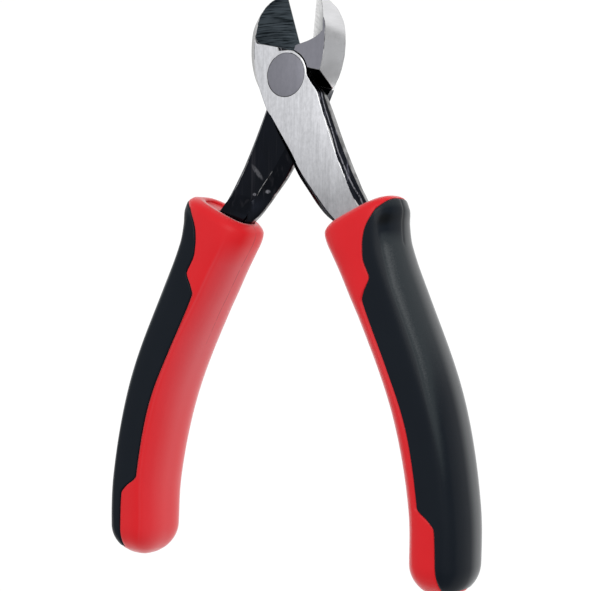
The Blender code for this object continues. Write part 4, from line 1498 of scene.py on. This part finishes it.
def red_plastic():
    sheet, surface = finish('red_moulded_plastic')
    cloud = sheet.noise(0.0, RED_CLOUDS)
    grain = sheet.noise(0.0, RED_GRAIN, detail=2.0)
    _, y, z = sheet.place().parts()
    broken = sheet.noise(0.0, PARTING_CELLS, detail=2.0).step(0.38, 0.5)
    parting = (1.0 - (z - PIVOT.z).math('ABSOLUTE').step(*PARTING_HALF)) * broken * y.step(*PARTING_FADE_Y)
    tone = sheet.mix(cloud, RED_DEEP, RED_BRIGHT)
    tone = sheet.mix(sheet.attribute('tone'), tone, RED_PAINTED_PALE)
    tone = sheet.mix(parting * PARTING_SHARE, tone, RED_PARTING)
    return surface({'Base Color': tone, 'Roughness': cloud.swing(0.16) + 0.36, 'Specular IOR Level': 0.1,
                    'Normal': sheet.bump(grain, RED_GRAIN_DEPTH, 0.12),
                    'Sheen Weight': 0.4, 'Sheen Roughness': 0.4,
                    'Coat Weight': 0.6, 'Coat IOR': 1.22, 'Coat Roughness': 0.38})


red = red_plastic()
print("red plastic:", len(red.node_tree.nodes), "nodes")

# %% [markdown]
# The tang sits in a socket of the core. The socket has the tang's own section with a little room all round,
# so it is drawn from the same tables and cut out of the wrapped core, which would otherwise run through the
# steel. The cut leaves points that almost touch, and these are welded. The painted light is stronger on the
# left grip than on the right, as the light falls from the right.

# %% The red cores
SOCKET_FROM = 30.0
SOCKET_STEP = 2.0
SOCKET_FIT = 0.2
RED_SHARP = math.radians(38)
# Share of the painted light on each grip: more on the left, which faces the light
PAINTED_LIGHT_BY_SIDE = {FRONT: 0.3, REAR: 1.0}


def socket_cutter(side):
    """The space for the tang: its six-sided section with a little room all round."""
    belt_table, draft_table = FORMS[side][:2]
    rows = np.arange(SOCKET_FROM, TANG[-1][0] + SOCKET_FIT, SOCKET_STEP)
    points = []
    for down in rows:
        inner, outer, top = tang_at(-down)
        flare_in, flare_out = (monotone(draft_table, k, down) for k in (1, 2))
        belt = monotone(belt_table, 1, down)
        left, right = inner - SOCKET_FIT, outer + SOCKET_FIT
        high, low = top + SOCKET_FIT, TANG_BACK - SOCKET_FIT
        section = [(left, high), (right, high), (right + flare_out, belt),
                   (right, low), (left, low), (left - flare_in, belt)]
        points += [(x, -down, z) for x, z in section]
    count = len(section)
    last = len(points) - count
    faces = tube_faces(len(rows), count) + [tuple(range(count)), tuple(last + k for k in range(count))]
    return flipped('socket', (points, faces), (side, 1, side))


def red_core(name, side):
    tones = [tone * PAINTED_LIGHT_BY_SIDE[side] for tone in core_tones]
    obj = show(name, wrapped(name, core_points, core_faces, tones, side, red))
    tool = socket_cutter(side)
    cut(obj, tool)
    mesh = outward_faces(baked(obj, [tool]), WELD)
    mesh.materials.clear()
    mesh.materials.append(red)
    mesh.polygons.foreach_set('material_index', np.zeros(len(mesh.polygons), dtype=np.int32))
    mesh.shade_smooth()
    mesh.set_sharp_from_angle(angle=RED_SHARP)
    mesh.transform(at_rest(side))
    print(name, len(mesh.polygons), "faces")
    return show(name, mesh)


right_red = red_core('right_grip_red', FRONT)
left_red = red_core('left_grip_red', REAR)

# %% [markdown]
# The rubber's tones are painted light. It is paler in a band past the crease, a painted reflection, and in
# a streak along it, a painted highlight, which both weaken toward the tip, and on the bulge at the top, a
# painted highlight. It is darker in the hollow under the bulge, a painted shade. These tones could be drawn
# in an image, but they follow the crease, so they are worked out for each point from its distance past it.

# %% Tones of the rubber


def pad_painted_light(s, angles):
    """Painted light and shade at a distance from the mouth, from how far each point lies past the crease.
    """
    past = past_crease(PAD_CREASE, s, angles)
    narrow = rise(s, 35.0, 60.0)
    wide = 6.5 - 4.3 * narrow
    band = rise(past, -0.3, 0.6) * np.maximum(1 - rise(past, 0.23 * wide, wide), 0.45 * (1 - narrow))
    shown = 1.25 * min(rise(s, 7.0, 13.25), max(1 - rise(s, 25.0, 85.0), 0.16))
    streak = bell(past, 0.5, 1.0) * min(rise(s, 9.0, 14.0), 1 - rise(s, 45.0, 75.0))
    hollow = bell(s, 6.6, 2.2) * bell(past, 2.0, 2.0)
    # Painted reflection in the band, painted highlights on the streak and the bulge, painted shade in the
    # hollow
    return band * shown + streak + 0.7 * bell(s, 3.2, 1.7) - hollow


print("tones at mid grip:", pad_painted_light(40.0, np.radians([0.0, 40.0, 80.0])).round(2))

# %% [markdown]
# The rubber fills the seat. Its rings run over the skin and back along the underside, and both ends are
# closed with strips. On its spine, below the mouth, a short seam shows where the halves of the mould met,
# as a real groove, because a bump in the material would not show in the mesh.

# %% The pattern of the soft pads
PAD_COLUMNS = 26
PAD_PROUD = 0.15
PAD_FIT = 0.12
PAD_MARGIN = 0.8
CREASE_CLEAR = 0.96
RIM_BASE = -0.2
# The round of the rubber at its rim: distance in from the line, and height over the red
PAD_ROUND = [(0.0, -0.5), (0.0, RIM_BASE), (0.06, -0.02), (0.18, 0.1), (0.4, PAD_PROUD)]
SEAM_TO = 13.5
SEAM_HALF_ANGLE = 0.03
SEAM_COLUMNS = np.array([1.0, 0.6, 0.3])
SEAM_NARROW = 2.2
SEAM_DEEP = 0.16


def pad_rows(rim):
    """Each ring's distance from the mouth and the height of its skin over the red."""
    middle = np.arange(PAD_FROM + PAD_MARGIN, PAD_TO - PAD_MARGIN + 0.1, CORE_STEP)
    rows = [(PAD_FROM + inward, height) for inward, height in rim] + [(s, PAD_PROUD) for s in middle]
    return rows + [(PAD_TO - inward, height) for inward, height in reversed(rim)]


def pad_pattern():
    rim = [(inward + PAD_FIT, height) for inward, height in PAD_ROUND]
    rows = pad_rows(rim)
    points = []
    tones = []
    for s, height in rows:
        rims = [(edge_angle(s, shift), up) for shift, up in rim]
        start = rims[-1][0]
        crease = min(offset_angle(s, monotone(PAD_CREASE, 1, s)), CREASE_CLEAR * start)
        half = np.concatenate([[a for a, up in rims[:-1]],
                               np.linspace(start, crease, PAD_COLUMNS, endpoint=False),
                               np.linspace(crease, SEAM_HALF_ANGLE, PAD_COLUMNS, endpoint=False),
                               SEAM_HALF_ANGLE * SEAM_COLUMNS])
        lift = np.full(len(half), PAD_PROUD)
        lift[:len(rims) - 1] = [up for a, up in rims[:-1]]
        angles = np.concatenate([-half, [0.0], half[::-1]])
        lift = np.concatenate([lift, [PAD_PROUD], lift[::-1]])
        seam = bell(angles, 0.0, SEAM_HALF_ANGLE / SEAM_NARROW) * rise(SEAM_TO - s, 0.0, 1.0)
        ridge = rise(height, RIM_BASE, PAD_PROUD) * crease_height(PAD_CREASE, s, angles)
        skin = np.minimum(lift, height) - SEAM_DEEP * seam + ridge
        along = [lean(s, a / rims[0][0]) for a in angles]
        points += list(zip(along, angles, skin))
        points += [(d, a, -PAD_DEPTH) for d, a in zip(reversed(along), reversed(angles))]
        tones += [*(pad_painted_light(s, angles) - seam), *np.zeros(len(angles))]
    width = len(points) // len(rows)
    faces = tube_faces(len(rows), width)
    for base in (0, (len(rows) - 1) * width):
        faces += [(base + k, base + k + 1, base + width - 2 - k, base + width - 1 - k)
                  for k in range(width // 2 - 1)]
    return points, faces, tones


pad_points, pad_faces, pad_tones = pad_pattern()
print("pad pattern:", len(pad_points), "points,", len(pad_faces), "faces")

# %% [markdown]
# The rubber has a matt skin with a sand-fine grain, paler where painted highlights and reflections lie and
# almost black in the painted shade of the hollow. One attribute carries all of these tones, and the grain
# roughens their edges. Below the parting plane the skin is glossier, so that it mirrors the bright floor as
# a pale rim, as in the photograph, and its colour is painted greyer there, a painted reflection that adds
# to the rim.

# %% Soft rubber
RUBBER_DEEP = (0.0045, 0.0075, 0.0125, 1)
RUBBER_PALE = (0.0075, 0.0115, 0.0175, 1)
# Painted light: a paler band, a highlight, and the shade of the hollow, which also darkens the seam
RUBBER_PAINTED_PALE = (0.03, 0.037, 0.042, 1)
RUBBER_PAINTED_HIGHLIGHT = (0.085, 0.092, 0.097, 1)
RUBBER_SHADE_AND_SEAM = (0.002, 0.003, 0.004, 1)
# Painted reflection of the bright floor below the parting plane
RUBBER_PAINTED_RIM = (0.035, 0.04, 0.045, 1)
RUBBER_GRAIN = (2400.0, 2400.0, 2400.0)
RUBBER_GRAIN_DEPTH = 0.00007
RUBBER_CLOUDS = (55.0, 55.0, 55.0)
PARTING_BLEND = (-0.003, 0.002)
COAT_ABOVE = 0.24


def soft_rubber():
    sheet, surface = finish('dark_soft_rubber')
    grain = sheet.noise(0.0, RUBBER_GRAIN, rough=0.7)
    cloud = sheet.noise(0.0, RUBBER_CLOUDS)
    painted_tone = sheet.attribute('tone') + grain.swing(0.5)
    below = 1.0 - (sheet.place().parts()[2] - PIVOT.z).step(*PARTING_BLEND)
    tone = sheet.mix(cloud, RUBBER_DEEP, RUBBER_PALE)
    tone = sheet.mix(painted_tone.step(0.1, 1.1), tone, RUBBER_PAINTED_PALE)
    tone = sheet.mix((painted_tone + grain.swing(1.2)).step(1.1, 2.6), tone, RUBBER_PAINTED_HIGHLIGHT)
    tone = sheet.mix((-painted_tone).step(0.1, 1.0), tone, RUBBER_SHADE_AND_SEAM)
    # Painted reflection: a greyer colour below the parting plane
    tone = sheet.mix(below, tone, RUBBER_PAINTED_RIM)
    return surface({'Base Color': tone, 'Roughness': grain.swing(0.2) + 0.5, 'Specular IOR Level': 0.0,
                    'Normal': sheet.bump(grain, RUBBER_GRAIN_DEPTH, 0.35),
                    'Sheen Weight': 0.4, 'Sheen Roughness': 0.26,
                    'Coat Weight': below * (1.0 - COAT_ABOVE) + COAT_ABOVE, 'Coat IOR': 1.5,
                    'Coat Roughness': 0.3})


rubber = soft_rubber()
print("rubber:", len(rubber.node_tree.nodes), "nodes")

# %% [markdown]
# Both pads come from the one pattern, wrapped along the line on either side. A mirrored copy would do too,
# but then its faces would point inward, and the tree already takes the side as an input. The centre line
# has done its work and is removed.

# %% The soft pads


def soft_pad(name, side):
    mesh = wrapped(name, pad_points, pad_faces, pad_tones, side, rubber)
    mesh.shade_smooth()
    mesh.transform(at_rest(side))
    print(name, len(mesh.polygons), "faces")
    return show(name, mesh)


right_pad = soft_pad('right_grip_soft', FRONT)
left_pad = soft_pad('left_grip_soft', REAR)
bpy.data.objects.remove(axis_line, do_unlink=True)

# %% [markdown]
# Last, each piece takes the place of its packed node and rides on the half of the tool it belongs to.

# %% Taking the places of the packed nodes
for piece, body, node, slot in ((front_lever, 'front_half', 'front_lever', 'polished_steel'),
                                (rear_lever, 'rear_half', 'rear_lever', 'blackened_steel'),
                                (rivet, 'rear_half', 'pivot_rivet', 'rivet_steel'),
                                (right_red, 'front_half', 'right_grip_core', 'red_plastic'),
                                (left_red, 'rear_half', 'left_grip_core', 'red_plastic'),
                                (right_pad, 'front_half', 'right_grip_pad', 'dark_rubber'),
                                (left_pad, 'rear_half', 'left_grip_pad', 'dark_rubber')):
    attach(piece, body)
    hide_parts(node)
